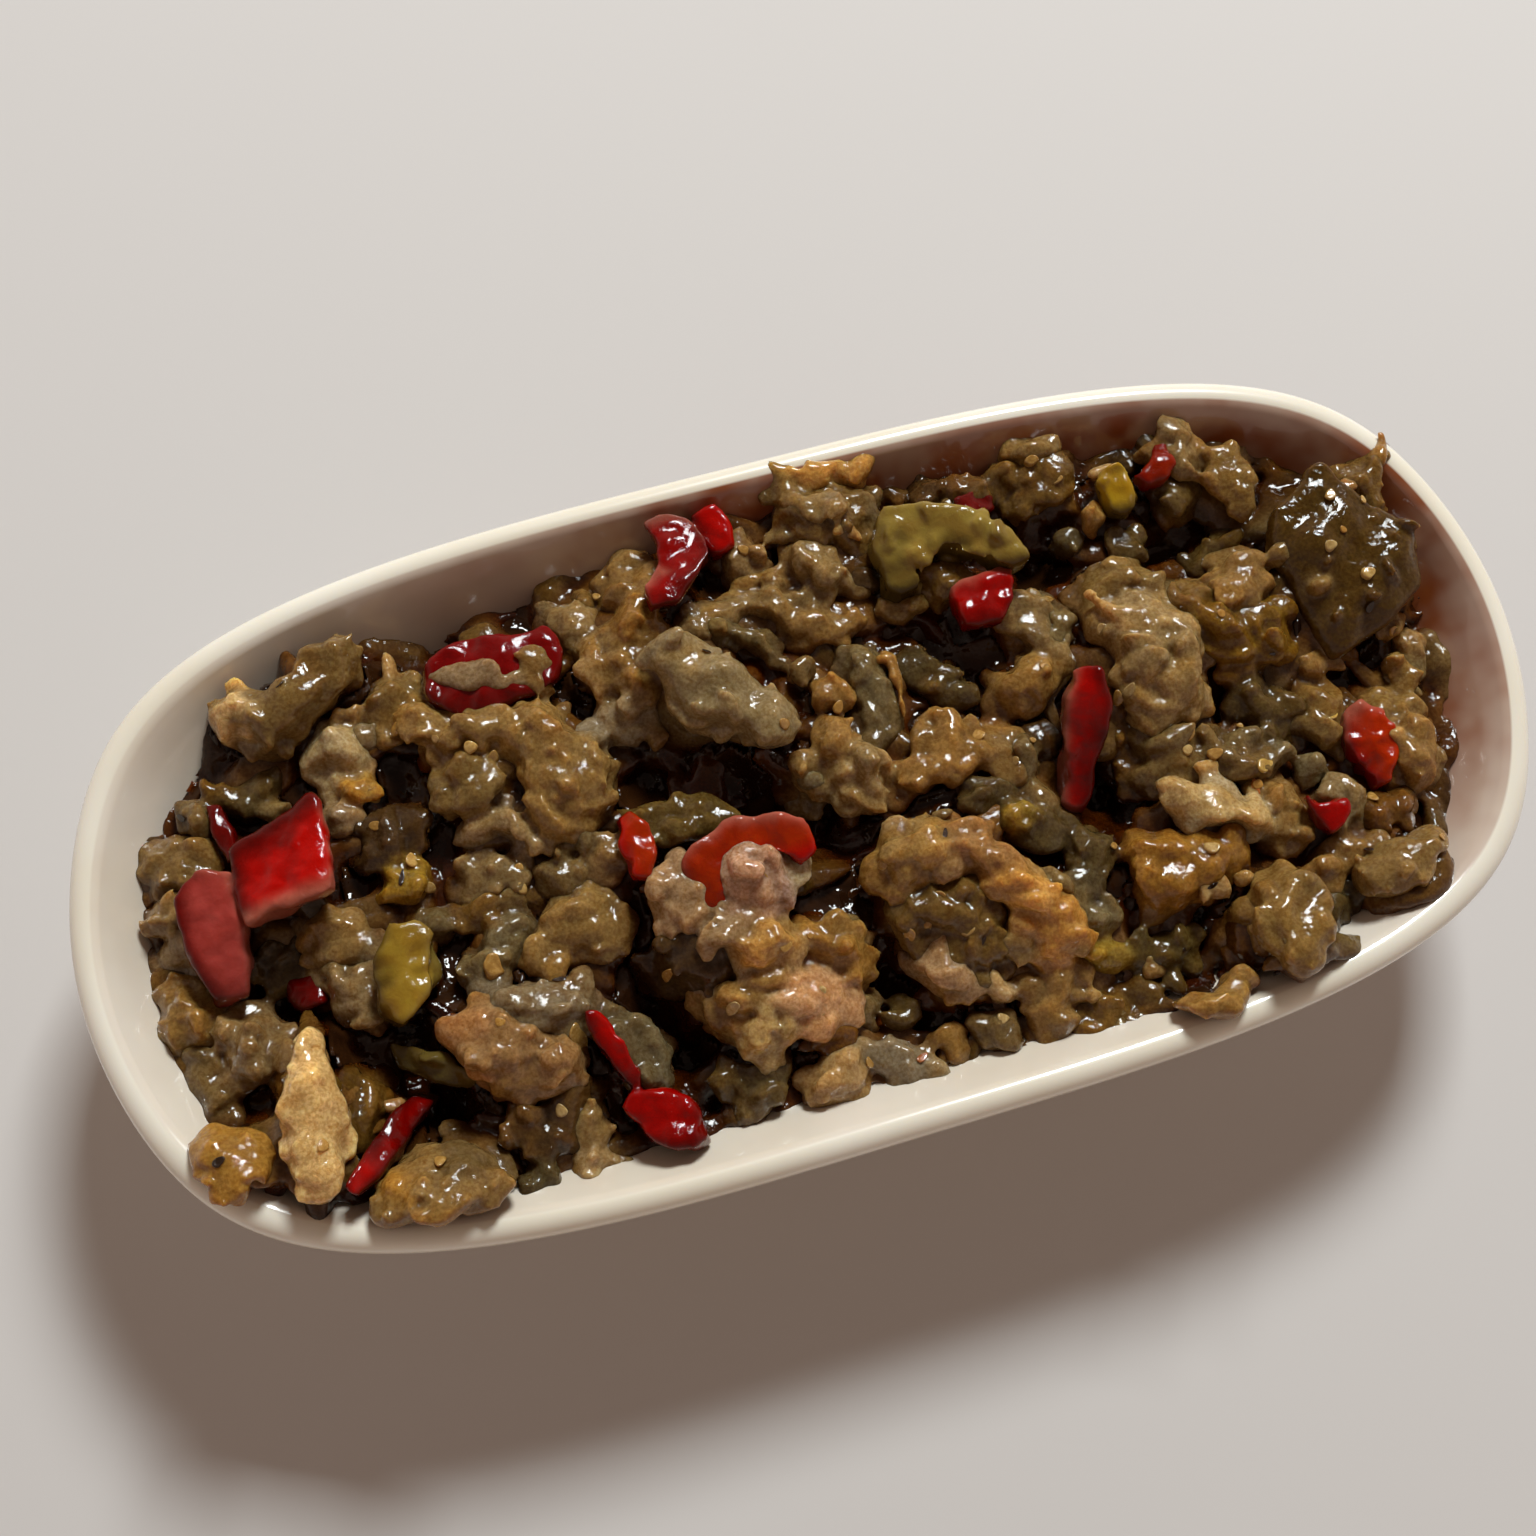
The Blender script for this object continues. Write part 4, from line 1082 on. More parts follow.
# face tone, edge tone, which way that edge looks (degrees), its width, other edge's tone, heading and width, thickness, rise, outline
redRows = [
    ("redFace", "redSkin", 125, 2.6, "redPale", -80, 1.6, 4.6, 3.0, [(-77.5, 12), (-72, 14.4), (-66, 16.4), (-65, 14), (-64.6, 8), (-65.2, 3), (-71, 2.2), (-76.5, 2.2), (-77.6, 7)]),
    ("redDeep", "redSkin", 180, 1.2, None, 0, 0, 2.4, 1.8, [(-79.4, 20), (-77.6, 19.4), (-76.6, 15.6), (-76.6, 12), (-78.2, 11.6), (-79.2, 15.4)]),
    ("redSheen", "redDeep", 180, 1.6, "redPale", 40, 0.9, 3.4, 2.2, [(-85.4, 8), (-82, 10.6), (-78, 9.8), (-77.4, 4), (-78, -1), (-79.6, -6.4), (-84, -6), (-85.6, 1)]),
    ("redDeep", "redSkin", 200, 1.4, None, 0, 0, 3, 0.8, [(-75.5, -4.6), (-71.5, -4.4), (-69.6, -6.6), (-70.4, -9.4), (-74.6, -9)]),
    ("crimson", "redSkin", 240, 2.2, None, 0, 0, 4, 1.6, [(-48, 27), (-46.6, 31), (-42, 32.6), (-36, 32.4), (-30.4, 31), (-28.6, 27.6), (-30.4, 23), (-36, 22), (-43, 22), (-47.2, 23.4)]),
    ("redOrange", "redFace", 180, 1.0, None, 0, 0, 3.4, 2.6, [(-28.4, 2.4), (-26, 3), (-24.6, 0), (-24.6, -4), (-26, -6.6), (-28, -5.6), (-28.6, -2)]),
    ("redOrange", "redFace", -90, 1.6, "redPale", 90, 0.8, 3.2, 2.1, [(-20, -3.8), (-15, -2.2), (-9, -2.8), (-5, -4.6), (-4.6, -9), (-7, -10), (-9, -7.6), (-13, -7.2), (-17, -8), (-18.4, -13), (-20.2, -16.6), (-22.6, -15.6), (-22, -10), (-21.4, -6.4)]),
    ("redFace", "redDeep", 200, 1.0, None, 0, 0, 2.6, 2.0, [(-39, -20.6), (-37, -21), (-35.4, -25), (-33.6, -30), (-34.6, -32), (-36.6, -30), (-38.4, -25.6)]),
    ("redWet", "redDeep", -60, 2.6, None, 0, 0, 4.4, 1.8, [(-37.4, -33.4), (-35.6, -31.4), (-31.4, -32.6), (-28, -35.6), (-27.6, -40.4), (-30.4, -41.4), (-34.6, -38.6)]),
    ("redWet", "redDeep", -90, 1.6, "redPale", 90, 0.8, 4, 2.6, [(24.4, 22), (29, 22.6), (33.6, 21.6), (32.6, 18), (29.4, 15.2), (24.4, 15.2), (24, 18)]),
    ("redFace", "redDeep", 10, 1.8, "redPale", 180, 0.8, 4, 2.6, [(36, 5.6), (39.6, 4.6), (40, 0), (38.4, -4), (36, -8.4), (33, -12.6), (30.6, -11), (32, -5), (34, 1)]),
    ("redRust", "redDeep", 200, 1.2, None, 0, 0, 3.4, 2.2, [(60, 35.4), (61.6, 35.4), (61.4, 31.4), (59.4, 29.6), (56.4, 29.4), (55.2, 31), (58, 32.4)]),
    ("redOrange", "crimson", 180, 1.4, "redPale", 100, 1.6, 4.6, 2.4, [(72.2, -9), (75, -8), (78, -10.4), (78.2, -15), (76.4, -19.6), (73.6, -20), (72, -16), (71.6, -12)]),
    ("redWet", "redSkin", 180, 0.8, None, 0, 0, 3, 2.4, [(62.4, -19), (64.2, -20.8), (67.5, -21), (66.4, -24), (64, -25), (62.2, -22.5)]),
    ("redFace", "redSkin", 130, 0.8, "redSkin", -50, 0.8, 3.6, 2.2, [(-62, -24), (-60.4, -25.6), (-64, -29.4), (-68, -33), (-71.4, -35), (-73, -33.6), (-70, -30), (-66, -26.4)]),
    ("redWet", "redSkin", -40, 1.6, "redPale", 90, 1.4, 3.4, 2.2, [(-13.2, 42.4), (-9.2, 42.6), (-6.8, 38.8), (-6, 34.6), (-8.6, 32), (-12, 29.2), (-16.4, 28.8), (-16.6, 32), (-13.4, 34.6), (-12.4, 38)]),
    ("redFace", "redDeep", 180, 1.4, None, 0, 0, 3.4, 1.8, [(-6.6, 42.4), (-3.4, 42.8), (-1.6, 39.6), (-2.2, 36.4), (-5, 35.6), (-6.8, 38.6)]),
    ("redDeep", "redSkin", 90, 1.0, None, 0, 0, 3, 1.2, [(29, 34.4), (32, 35.2), (35, 34.2), (34.6, 32), (31, 31.6), (29, 32.6)]),
]
greenRows = [
    ("greenYellow", "greenDeep", 180, 1.2, "greenPale", 20, 1.2, 6, 2.6, [(-64, -13), (-62.6, -7), (-60.6, -3), (-57, -3.4), (-54.8, -6), (-55.6, -11), (-58.6, -14), (-61.5, -16)]),
    ("greenPale", "greenDeep", -90, 1.2, None, 0, 0, 4.4, 2.8, [(15.8, 24), (15.6, 31), (18.2, 35), (24, 34.2), (29.6, 31), (34.2, 26.6), (35.6, 22), (33, 21.2), (29.6, 25), (25.4, 27.2), (21.6, 28), (20.2, 25.6), (19.8, 22.6), (17.4, 22.2)]),
    ("greenBright", "greenDeep", -90, 1.6, "greenPale", 90, 1.2, 4, 1.8, [(49.8, 32.6), (52, 33.6), (54.2, 32), (54.4, 28), (52.6, 26), (50, 27)]),
    ("greenLeaf", "greenDeep", -60, 0.8, None, 0, 0, 1.8, 1.2, [(-64, -17), (-61, -18.4), (-57, -21.4), (-54, -24.4), (-55.2, -25.6), (-60, -23.4), (-63.6, -20)]),
]


def sliceShape(rng, thick, rise, outline):
    # a cut slice with fairly sharp edges
    return pillow(rng, outline, rise, thick, blunt=7.0, tilt=rng.uniform(-0.12, 0.12, 2), rough=0.7, crisp=0.8)


def edgeMask(points, heading, width):
    # 1 within width of the edge that looks along heading, fading to 0
    a = math.radians(heading)
    along = points[:, 0] * math.cos(a) + points[:, 1] * math.sin(a)
    across = np.round((points[:, 1] * math.cos(a) - points[:, 0] * math.sin(a)) / 1.0)
    top = {}
    for key, value in zip(across, along):
        top[key] = max(top.get(key, -1e9), value)
    distance = np.array([top[key] for key in across]) - along
    return np.clip(1.5 - distance / width, 0, 1)


def slicePeppers(pile, rng, rows, ribs=0.0):
    for face, edge, heading, width, other, otherHeading, otherWidth, thick, rise, outline in rows:
        points, faces = sliceShape(rng, thick, rise, outline)
        colour = np.tile(varied(rng, face, 0.06), (len(points), 1))
        mask = edgeMask(points, heading, width)[:, None]
        colour = colour * (1 - mask) + linear(tones[edge]) * mask
        if other:
            mask = edgeMask(points, otherHeading, otherWidth)[:, None]
            colour = colour * (1 - mask) + linear(tones[other]) * mask
        lower = np.clip((points[:, 2].max() - points[:, 2]) / thick * 1.6 - 0.6, 0, 1)[:, None]
        pile.add((points, faces), colour * (1 - 0.5 * lower))
        for place, outward in zip(*onSurface(rng, points, faces, rng.poisson(topArea(points, faces) * ribs), 0.1)):
            width = rng.uniform(1.2, 2.2)
            shape = strand(rng, place, outward, rng.uniform(0, math.pi), width * rng.uniform(1.6, 3.0), width)
            pile.add(shape, colour[0] * rng.uniform(0.8, 1.25))


redPile, greenPile = Pile(), Pile()
slicePeppers(redPile, np.random.default_rng(31), redRows)
slicePeppers(greenPile, np.random.default_rng(32), greenRows, 0.02)
print("peppers sliced")


# ---------- joining the shapes ----------

coarse, middling, small = ("coarse", 6.0, 0.7), ("middling", 3.0, 0.40), ("small", 1.4, 0.36)
bedPiece = fuse("mashBed", bed, 0.60, 2, [coarse, middling, small], -1.2, 150000)
paleChunks = fuse("paleFlesh", paleFlesh, 0.42, 4, [coarse, middling, small], -0.3, 192000)
smokyChunks = fuse("smokyFlesh", smokyFlesh, 0.42, 4, [coarse, middling, small], -0.3, 188000)
firmChunks = fuse("auberginePieces", firmFlesh, 0.40, 4, [middling, small], 0.05, 110000)
redPieces = fuse("redPeppers", redPile, 0.34, 1, [("bend", 5.0, 1.4), ("ripple", 2.0, 0.45)], 0.12, 90000)
greenPieces = fuse("greenPeppers", greenPile, 0.36, 2, [("bend", 5.0, 1.3), ("ripple", 2.0, 0.5)], 0.12, 40000)

nodeNames = list(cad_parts)
for piece, slotName, stems in (
    (bedPiece, "aubergine_mash", ["aubergine_mash"]),
    (paleChunks, "aubergine_mash", []),
    (smokyChunks, "aubergine_mash", []),
    (firmChunks, "aubergine_flesh", ["aubergine_piece"]),
    (redPieces, "red_pepper", ["red_pepper"]),
    (greenPieces, "green_pepper", ["green_pepper"]),
):
    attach(piece, "root")
    names = [name for name in nodeNames if any(name.startswith(stem) for stem in stems)]
    if names:
        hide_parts(*names)
print("shapes joined")


# ---------- juice in the gaps ----------

juice = {"step": 0.5, "above": 1.5, "climb": 1.1, "onlyDeeperThan": 3.6}


def topOf(pieces, step):
    heights = np.full(gridPoints(step)[0].shape, -50.0)
    for piece in pieces:
        co = coordinates(piece.data)
        column = np.clip(np.round((co[:, 0] + 104) / step).astype(int), 0, heights.shape[1] - 1)
        row = np.clip(np.round((co[:, 1] + 52) / step).astype(int), 0, heights.shape[0] - 1)
        np.maximum.at(heights, (row, column), co[:, 2])
    return heights


fleshTop = topOf([bedPiece, paleChunks, smokyChunks, firmChunks], juice["step"])
foodTop = np.maximum(fleshTop, topOf([redPieces, greenPieces], juice["step"]))
onPepper = Field(juice["step"], blurred((foodTop > fleshTop + 0.05).astype(float), 1.0))
foodTop = np.maximum(foodTop, wallField.values)


def pourJuice():
    step = juice["step"]
    x, y = gridPoints(step)
    depth = gap.at(x, y)
    level = heap.at(x, y) - depth + juice["above"]
    above = np.clip((foodTop - level) / 0.5, 0, 1)
    level = level + juice["climb"] * blurred(above, 1.3 / step) * (1 - above * 0.5)
    level += 0.12 * np.sin(x * 1.3 + 2 * np.sin(y * 0.7)) * np.cos(y * 1.1)
    level = blurred(level, 0.6 / step)
    wet = (level > foodTop - 0.1) & (depth > juice["onlyDeeperThan"]) & (cover.at(x, y) > 0.6)
    near = blurred(wet.astype(float), 0.7) > 0.12
    near &= insetField.at(x, y) > 5
    corner = np.zeros_like(near)
    cells = near[:-1, :-1] & near[1:, :-1] & near[:-1, 1:] & near[1:, 1:]
    for i, j in ((0, 0), (0, 1), (1, 0), (1, 1)):
        corner[i : i + cells.shape[0], j : j + cells.shape[1]] |= cells
    number = np.full(near.shape, -1)
    number[corner] = np.arange(corner.sum())
    top = np.column_stack([x[corner], y[corner], level[corner]])
    bottom = top - (0, 0, 0.9)
    count = len(top)
    i, j = np.nonzero(cells)
    a, b, c, d = number[i, j], number[i, j + 1], number[i + 1, j + 1], number[i + 1, j]
    faces = [tuple(f) for f in np.column_stack([a, b, c, d]).tolist()]
    faces += [tuple(f) for f in (np.column_stack([d, c, b, a]) + count).tolist()]
    sides = {}
    for start, end in np.concatenate([np.column_stack(pair) for pair in ((a, b), (b, c), (c, d), (d, a))]).tolist():
        if (end, start) in sides:
            del sides[(end, start)]
        else:
            sides[(start, end)] = True
    faces += [(end, start, start + count, end + count) for start, end in sides]
    return makeMesh("juice", np.concatenate([top, bottom]), faces)


juicePiece = pourJuice()
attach(juicePiece, "root")
print("juice poured,", len(juicePiece.data.polygons) * 2, "triangles")


# ---------- seeds and flecks ----------

# tone, place, length, width, turn
seedRows = [
    ("seed", -48.5, -11.5, 3.5, 2.6, 80), ("seed", -40.5, -23.5, 4.0, 2.2, 85), ("seedPale", -10, -27, 3.4, 3.0, 20), ("seed", 33, 18, 2.6, 2.2, 0),
    ("seedPale", -44, 17, 1.9, 1.6, 0), ("seed", -36, 10, 1.8, 1.5, 0), ("seedPale", 47, -22.5, 2.2, 1.8, 0), ("seed", 52.5, -10, 2.0, 1.7, 0),
    ("seedPale", 49, -8.5, 1.8, 1.5, 0), ("seed", 12, -24, 2.0, 1.7, 0), ("seedPale", 9.5, -19, 1.7, 1.5, 0), ("seed", 22, 1.2, 2.0, 1.6, 0),
    ("seedPale", 33.5, -17, 1.7, 1.5, 0), ("seed", 42, 37.5, 1.9, 1.6, 0), ("seed", 44.5, 34, 1.8, 1.5, 0), ("seedPale", 81, 8, 2.0, 1.8, 0),
    ("seedPale", 77, 13, 1.8, 1.5, 0), ("seed", -12, -20, 1.8, 1.5, 0), ("seedPale", -20.5, -25.5, 1.8, 1.5, 0), ("seedPale", 14, -36, 1.7, 1.5, 0),
    ("flake", 40, -16.5, 2.6, 1.4, 60), ("flake", 56.5, -16, 3.0, 1.0, 80), ("flakePale", 58.5, -13.5, 3.0, 2.0, 10), ("flakePale", 71.3, -8.3, 2.6, 2.0, 40),
    ("flake", 2.2, -37.8, 1.8, 1.0, 20), ("fleck", -57, 3.2, 2.4, 0.7, 70), ("fleck", -86.5, -26.5, 1.8, 1.2, 20), ("fleck", 17, 24.3, 2.6, 1.8, 30),
    ("fleck", -66, 32, 1.6, 1.2, 0), ("fleck", 80, 3.5, 1.6, 0.9, 50),
]
tones.update({"seed": (176, 136, 70), "seedPale": (190, 162, 106), "flake": (170, 96, 40), "flakePale": (186, 156, 84), "fleck": (40, 24, 14)})


def scatterSeeds():
    pile = Pile()
    rng = np.random.default_rng(41)
    step = juice["step"]
    smoothTop = Field(step, blurred(foodTop, 1.6))
    rows = list(seedRows)
    for _ in range(110):  # the small seeds and burnt flecks all through it
        x, y = rng.uniform(-86, 88), rng.uniform(-38, 38)
        if cover.at(x, y) > 0.9 and smoothTop.at(x, y) > heap.at(x, y) - 1.5:
            tone = ("seed", "seedPale", "seedPale", "seed", "fleck")[rng.integers(5)]
            size = rng.uniform(0.8, 1.5)
            rows.append((tone, x, y, size * rng.uniform(1.0, 1.6), size * (0.5 if tone == "fleck" else 1.0), rng.uniform(0, 180)))
    ball, faces = mediumBall
    for tone, x, y, length, width, turn in rows:
        if onPepper.at(x, y) > 0.2:
            continue
        thin = 0.30 if tone in ("fleck", "flake", "flakePale") else 0.55
        half = np.array([length, width, width * thin]) / 2
        points = ball * half
        points[:, 1] *= 1 - 0.28 * ball[:, 0]  # blunt at one end, pointed at the other
        rim = np.exp(-((np.hypot(ball[:, 0], ball[:, 1]) - 0.82) / 0.14) ** 2)
        points[:, 2] += 0.10 * width * rim * np.sign(ball[:, 2])
        points += wander(points, rng, 2.0, 0.05 * width)
        a = math.radians(turn)
        points[:, :2] = points[:, :2] @ np.array([[math.cos(a), math.sin(a)], [-math.sin(a), math.cos(a)]])
        east = float(smoothTop.at(x + 0.7, y) - smoothTop.at(x - 0.7, y)) / 1.4
        north = float(smoothTop.at(x, y + 0.7) - smoothTop.at(x, y - 0.7)) / 1.4
        points[:, 2] += np.clip(east, -1, 1) * points[:, 0] + np.clip(north, -1, 1) * points[:, 1]
        points += (x, y, float(smoothTop.at(x, y)) + 0.12 + half[2] * 0.35)
        pile.add((points, faces), varied(rng, tone, 0.12))
    points, faces, colours = pile.arrays()
    obj = makeMesh("seeds", points, faces)
    layer = obj.data.attributes.new("tint", "FLOAT_COLOR", "POINT")
    layer.data.foreach_set("color", np.column_stack([colours, np.ones(len(colours))]).ravel())
    return obj


seeds = scatterSeeds()
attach(seeds, "root")
print("seeds scattered,", len(seeds.data.polygons), "triangles")


# ---------- finishes ----------

class Nodes:
    # short words for wiring up a material or a group
    def __init__(self, tree):
        self.tree = tree

    def node(self, kind, **settings):
        made = self.tree.nodes.new(kind)
        for name, value in settings.items():
            setattr(made, name, value)
        return made

    def put(self, socket, value):
        if isinstance(value, bpy.types.NodeSocket):
            self.tree.links.new(value, socket)
        else:
            socket.default_value = value

    def attribute(self, name):
        return self.node("ShaderNodeAttribute", attribute_name=name).outputs

    def noise(self, where, scale, detail=3.0, roughness=0.55, distortion=0.0):
        node = self.node("ShaderNodeTexNoise")
        self.put(node.inputs["Vector"], where)
        for name, value in (("Scale", scale / mm), ("Detail", detail), ("Roughness", roughness), ("Distortion", distortion)):
            self.put(node.inputs[name], value)
        return node.outputs["Fac"]

    def cells(self, where, scale, feature="F1", randomness=1.0):
        node = self.node("ShaderNodeTexVoronoi", feature=feature)
        self.put(node.inputs["Vector"], where)
        self.put(node.inputs["Scale"], scale / mm)
        self.put(node.inputs["Randomness"], randomness)
        return node.outputs

    def ramp(self, value, low, high, toLow=0.0, toHigh=1.0, smooth=True):
        node = self.node("ShaderNodeMapRange", interpolation_type="SMOOTHSTEP" if smooth else "LINEAR")
        for name, one in (("Value", value), ("From Min", low), ("From Max", high), ("To Min", toLow), ("To Max", toHigh)):
            self.put(node.inputs[name], one)
        return node.outputs["Result"]

    def sum(self, operation, a, b):
        node = self.node("ShaderNodeMath", operation=operation)
        self.put(node.inputs[0], a)
        self.put(node.inputs[1], b)
        return node.outputs[0]

    def bump(self, height, distance, strength=1.0, normal=None):
        node = self.node("ShaderNodeBump")
        self.put(node.inputs["Height"], height)
        self.put(node.inputs["Distance"], distance * mm)
        self.put(node.inputs["Strength"], strength)
        if normal is not None:
            self.put(node.inputs["Normal"], normal)
        return node.outputs["Normal"]


def mixBlend(nodes, amount, a, b, kind="MIX"):
    node = nodes.node("ShaderNodeMix", data_type="RGBA", blend_type=kind)
    sockets = {s.identifier: s for s in node.inputs}
    nodes.put(sockets["Factor_Float"], amount)
    nodes.put(sockets["A_Color"], a)
    nodes.put(sockets["B_Color"], b)
    return {s.identifier: s for s in node.outputs}["Result_Color"]


def shade(colour):
    return (*[float(c) for c in linear(colour)], 1.0)


def fleshGroup():
    # blotches, crumbs of darker flesh, pale fibres and the dark of the hollows, for anything cooked
    tree = bpy.data.node_groups.new("cookedFlesh", "ShaderNodeTree")
    for name, kind, inward in (
        ("Tint", "NodeSocketColor", True),
        ("Hollow", "NodeSocketFloat", True),
        ("Sunk", "NodeSocketFloat", True),
        ("Darkness", "NodeSocketFloat", True),
        ("Specks", "NodeSocketFloat", True),
        ("Color", "NodeSocketColor", False),
        ("Roughness", "NodeSocketFloat", False),
        ("Height", "NodeSocketFloat", False),
        ("Sparkle", "NodeSocketFloat", False),
    ):
        tree.interface.new_socket(name, in_out="INPUT" if inward else "OUTPUT", socket_type=kind)
    n = Nodes(tree)
    given, out = n.node("NodeGroupInput").outputs, n.node("NodeGroupOutput").inputs
    where = n.node("ShaderNodeTexCoord").outputs["Object"]
    blotch = n.noise(where, 1 / 5.0, 4.0, 0.6, 0.4)
    fibre = n.noise(where, 1 / 1.5, 5.0, 0.68, 1.4)
    fine = n.noise(where, 1 / 0.5, 2.0, 0.5)
    glint = n.noise(where, 1 / 1.6, 3.0, 0.6, 0.3)
    wet = n.noise(where, 1 / 1.3, 1.0, 0.5, 0.3)
    colour = mixBlend(n, n.ramp(blotch, 0.42, 0.66), given["Tint"], mixBlend(n, 1.0, given["Tint"], (1.14, 1.12, 1.10, 1), "MULTIPLY"))
    colour = mixBlend(n, n.ramp(blotch, 0.46, 0.30), colour, mixBlend(n, 1.0, colour, (0.86, 0.74, 0.58, 1), "MULTIPLY"))
    colour = mixBlend(n, n.ramp(fibre, 0.52, 0.68), colour, mixBlend(n, 1.0, colour, (1.22, 1.24, 1.28, 1), "MULTIPLY"))
    colour = mixBlend(n, n.ramp(fibre, 0.46, 0.32), colour, mixBlend(n, 1.0, colour, (0.82, 0.72, 0.55, 1), "MULTIPLY"))
    colour = mixBlend(n, n.ramp(fine, 0.36, 0.64, 0.7, 0.0), colour, mixBlend(n, 1.0, colour, (0.66, 0.55, 0.40, 1), "MULTIPLY"))
    cell = n.cells(where, 1 / 2.6)
    speck = n.sum("MULTIPLY", n.ramp(cell["Distance"], 0.16, 0.09), given["Specks"])
    colour = mixBlend(n, speck, colour, shade((84, 52, 26)))
    deep = n.ramp(given["Hollow"], 0.53, 0.22)
    deep = n.sum("MULTIPLY", deep, given["Darkness"])
    colour = mixBlend(n, deep, colour, mixBlend(n, 1.0, colour, (0.42, 0.20, 0.06, 1), "MULTIPLY"))
    colour = mixBlend(n, n.ramp(given["Sunk"], 0.0, 0.62), colour, mixBlend(n, 1.0, colour, (0.36, 0.14, 0.035, 1), "MULTIPLY"))
    ridge = n.ramp(given["Hollow"], 0.56, 0.85, 0.0, 0.35)
    colour = mixBlend(n, ridge, colour, mixBlend(n, 1.0, colour, (1.30, 1.28, 1.28, 1), "MULTIPLY"))
    n.put(out["Color"], mixBlend(n, 1.0, colour, (1.04, 1.08, 1.02, 1), "MULTIPLY"))
    n.put(out["Roughness"], n.ramp(glint, 0.36, 0.70, 0.04, 0.13))
    height = n.sum("ADD", n.sum("MULTIPLY", wet, 1.0), n.sum("MULTIPLY", fine, 0.24))
    height = n.sum("ADD", height, n.sum("MULTIPLY", fibre, 0.12))
    n.put(out["Height"], height)
    n.put(out["Sparkle"], n.ramp(glint, 0.40, 0.70, 1.0, 0.45))
    return tree


cookedFlesh = fleshGroup()


def freshMaterial(name):
    material = bpy.data.materials.new(name)
    material.use_nodes = True
    return material, Nodes(material.node_tree), material.node_tree.nodes["Principled BSDF"].inputs


def useGroup(nodes, group, **values):
    made = nodes.node("ShaderNodeGroup", node_tree=group)
    for name, value in values.items():
        nodes.put(made.inputs[name], value)
    return made.outputs


fleshLooks = {
    # how soft light passes in, how dark the hollows are, how many dark specks, gloss film, depth of the fine grain
    "mashBed": {"soft": 0.35, "darkness": 0.55, "specks": 0.3, "film": 0.55, "grain": 0.28},
    "paleFlesh": {"soft": 0.92, "darkness": 0.40, "specks": 0.2, "film": 0.55, "grain": 0.30},
    "smokyFlesh": {"soft": 0.90, "darkness": 0.45, "specks": 0.2, "film": 0.55, "grain": 0.30},
    "auberginePieces": {"soft": 0.90, "darkness": 0.40, "specks": 0.25, "film": 0.55, "grain": 0.28},
}


def finishFlesh(obj):
    look = fleshLooks[obj.name]
    material, n, shader = freshMaterial(obj.name)
    hollow = n.node("ShaderNodeSeparateColor")
    n.put(hollow.inputs[0], n.attribute("crease")["Color"])
    out = useGroup(
        n, cookedFlesh, Tint=n.attribute("tint")["Color"], Hollow=hollow.outputs[0], Sunk=hollow.outputs[1],
        Darkness=look["darkness"], Specks=look["specks"],
    )
    n.put(shader["Base Color"], out["Color"])
    n.put(shader["Roughness"], out["Roughness"])
    n.put(shader["Coat Weight"], n.sum("MULTIPLY", out["Sparkle"], look["film"]))
    n.put(shader["Normal"], n.bump(out["Height"], look["grain"], 0.9))
    shader["Coat Roughness"].default_value = 0.03
    shader["Coat IOR"].default_value = 1.36
    shader["IOR"].default_value = 1.31
    shader["Subsurface Weight"].default_value = look["soft"]
    shader["Subsurface Radius"].default_value = (1.0, 0.72, 0.42)
    shader["Subsurface Scale"].default_value = 3.0 * mm
    obj.data.materials.append(material)


for piece in (bedPiece, paleChunks, smokyChunks, firmChunks):
    finishFlesh(piece)


def finishPepper(obj, scatter):
    material, n, shader = freshMaterial(obj.name)
    where = n.node("ShaderNodeTexCoord").outputs["Object"]
    tint = n.attribute("tint")["Color"]
    cloud = n.noise(where, 1 / 3.4, 3.0, 0.6, 0.4)
    grain = n.noise(where, 1 / 0.5, 2.0, 0.5)
    streak = n.noise(where, 1 / 1.1, 3.0, 0.6, 0.8)
    colour = mixBlend(n, n.ramp(cloud, 0.36, 0.62), mixBlend(n, 1.0, tint, (0.82, 0.72, 0.68, 1), "MULTIPLY"), tint)
    colour = mixBlend(n, n.ramp(streak, 0.58, 0.74, 0, 0.35), colour, mixBlend(n, 1.0, colour, (1.15, 1.3, 1.2, 1), "MULTIPLY"))
    n.put(shader["Base Color"], colour)
    n.put(shader["Roughness"], n.ramp(streak, 0.35, 0.7, 0.05, 0.18))
    height = n.sum("ADD", streak, n.sum("MULTIPLY", grain, 0.3))
    n.put(shader["Normal"], n.bump(height, 0.12, 0.8))
    shader["Coat Weight"].default_value = 0.4
    shader["Coat IOR"].default_value = 1.34
    shader["Coat Roughness"].default_value = 0.02
    shader["IOR"].default_value = 1.26
    shader["Subsurface Weight"].default_value = 0.35
    shader["Subsurface Radius"].default_value = scatter
    shader["Subsurface Scale"].default_value = 1.2 * mm
    obj.data.materials.append(material)


finishPepper(redPieces, (1.0, 0.15, 0.08))
finishPepper(greenPieces, (0.9, 0.7, 0.2))


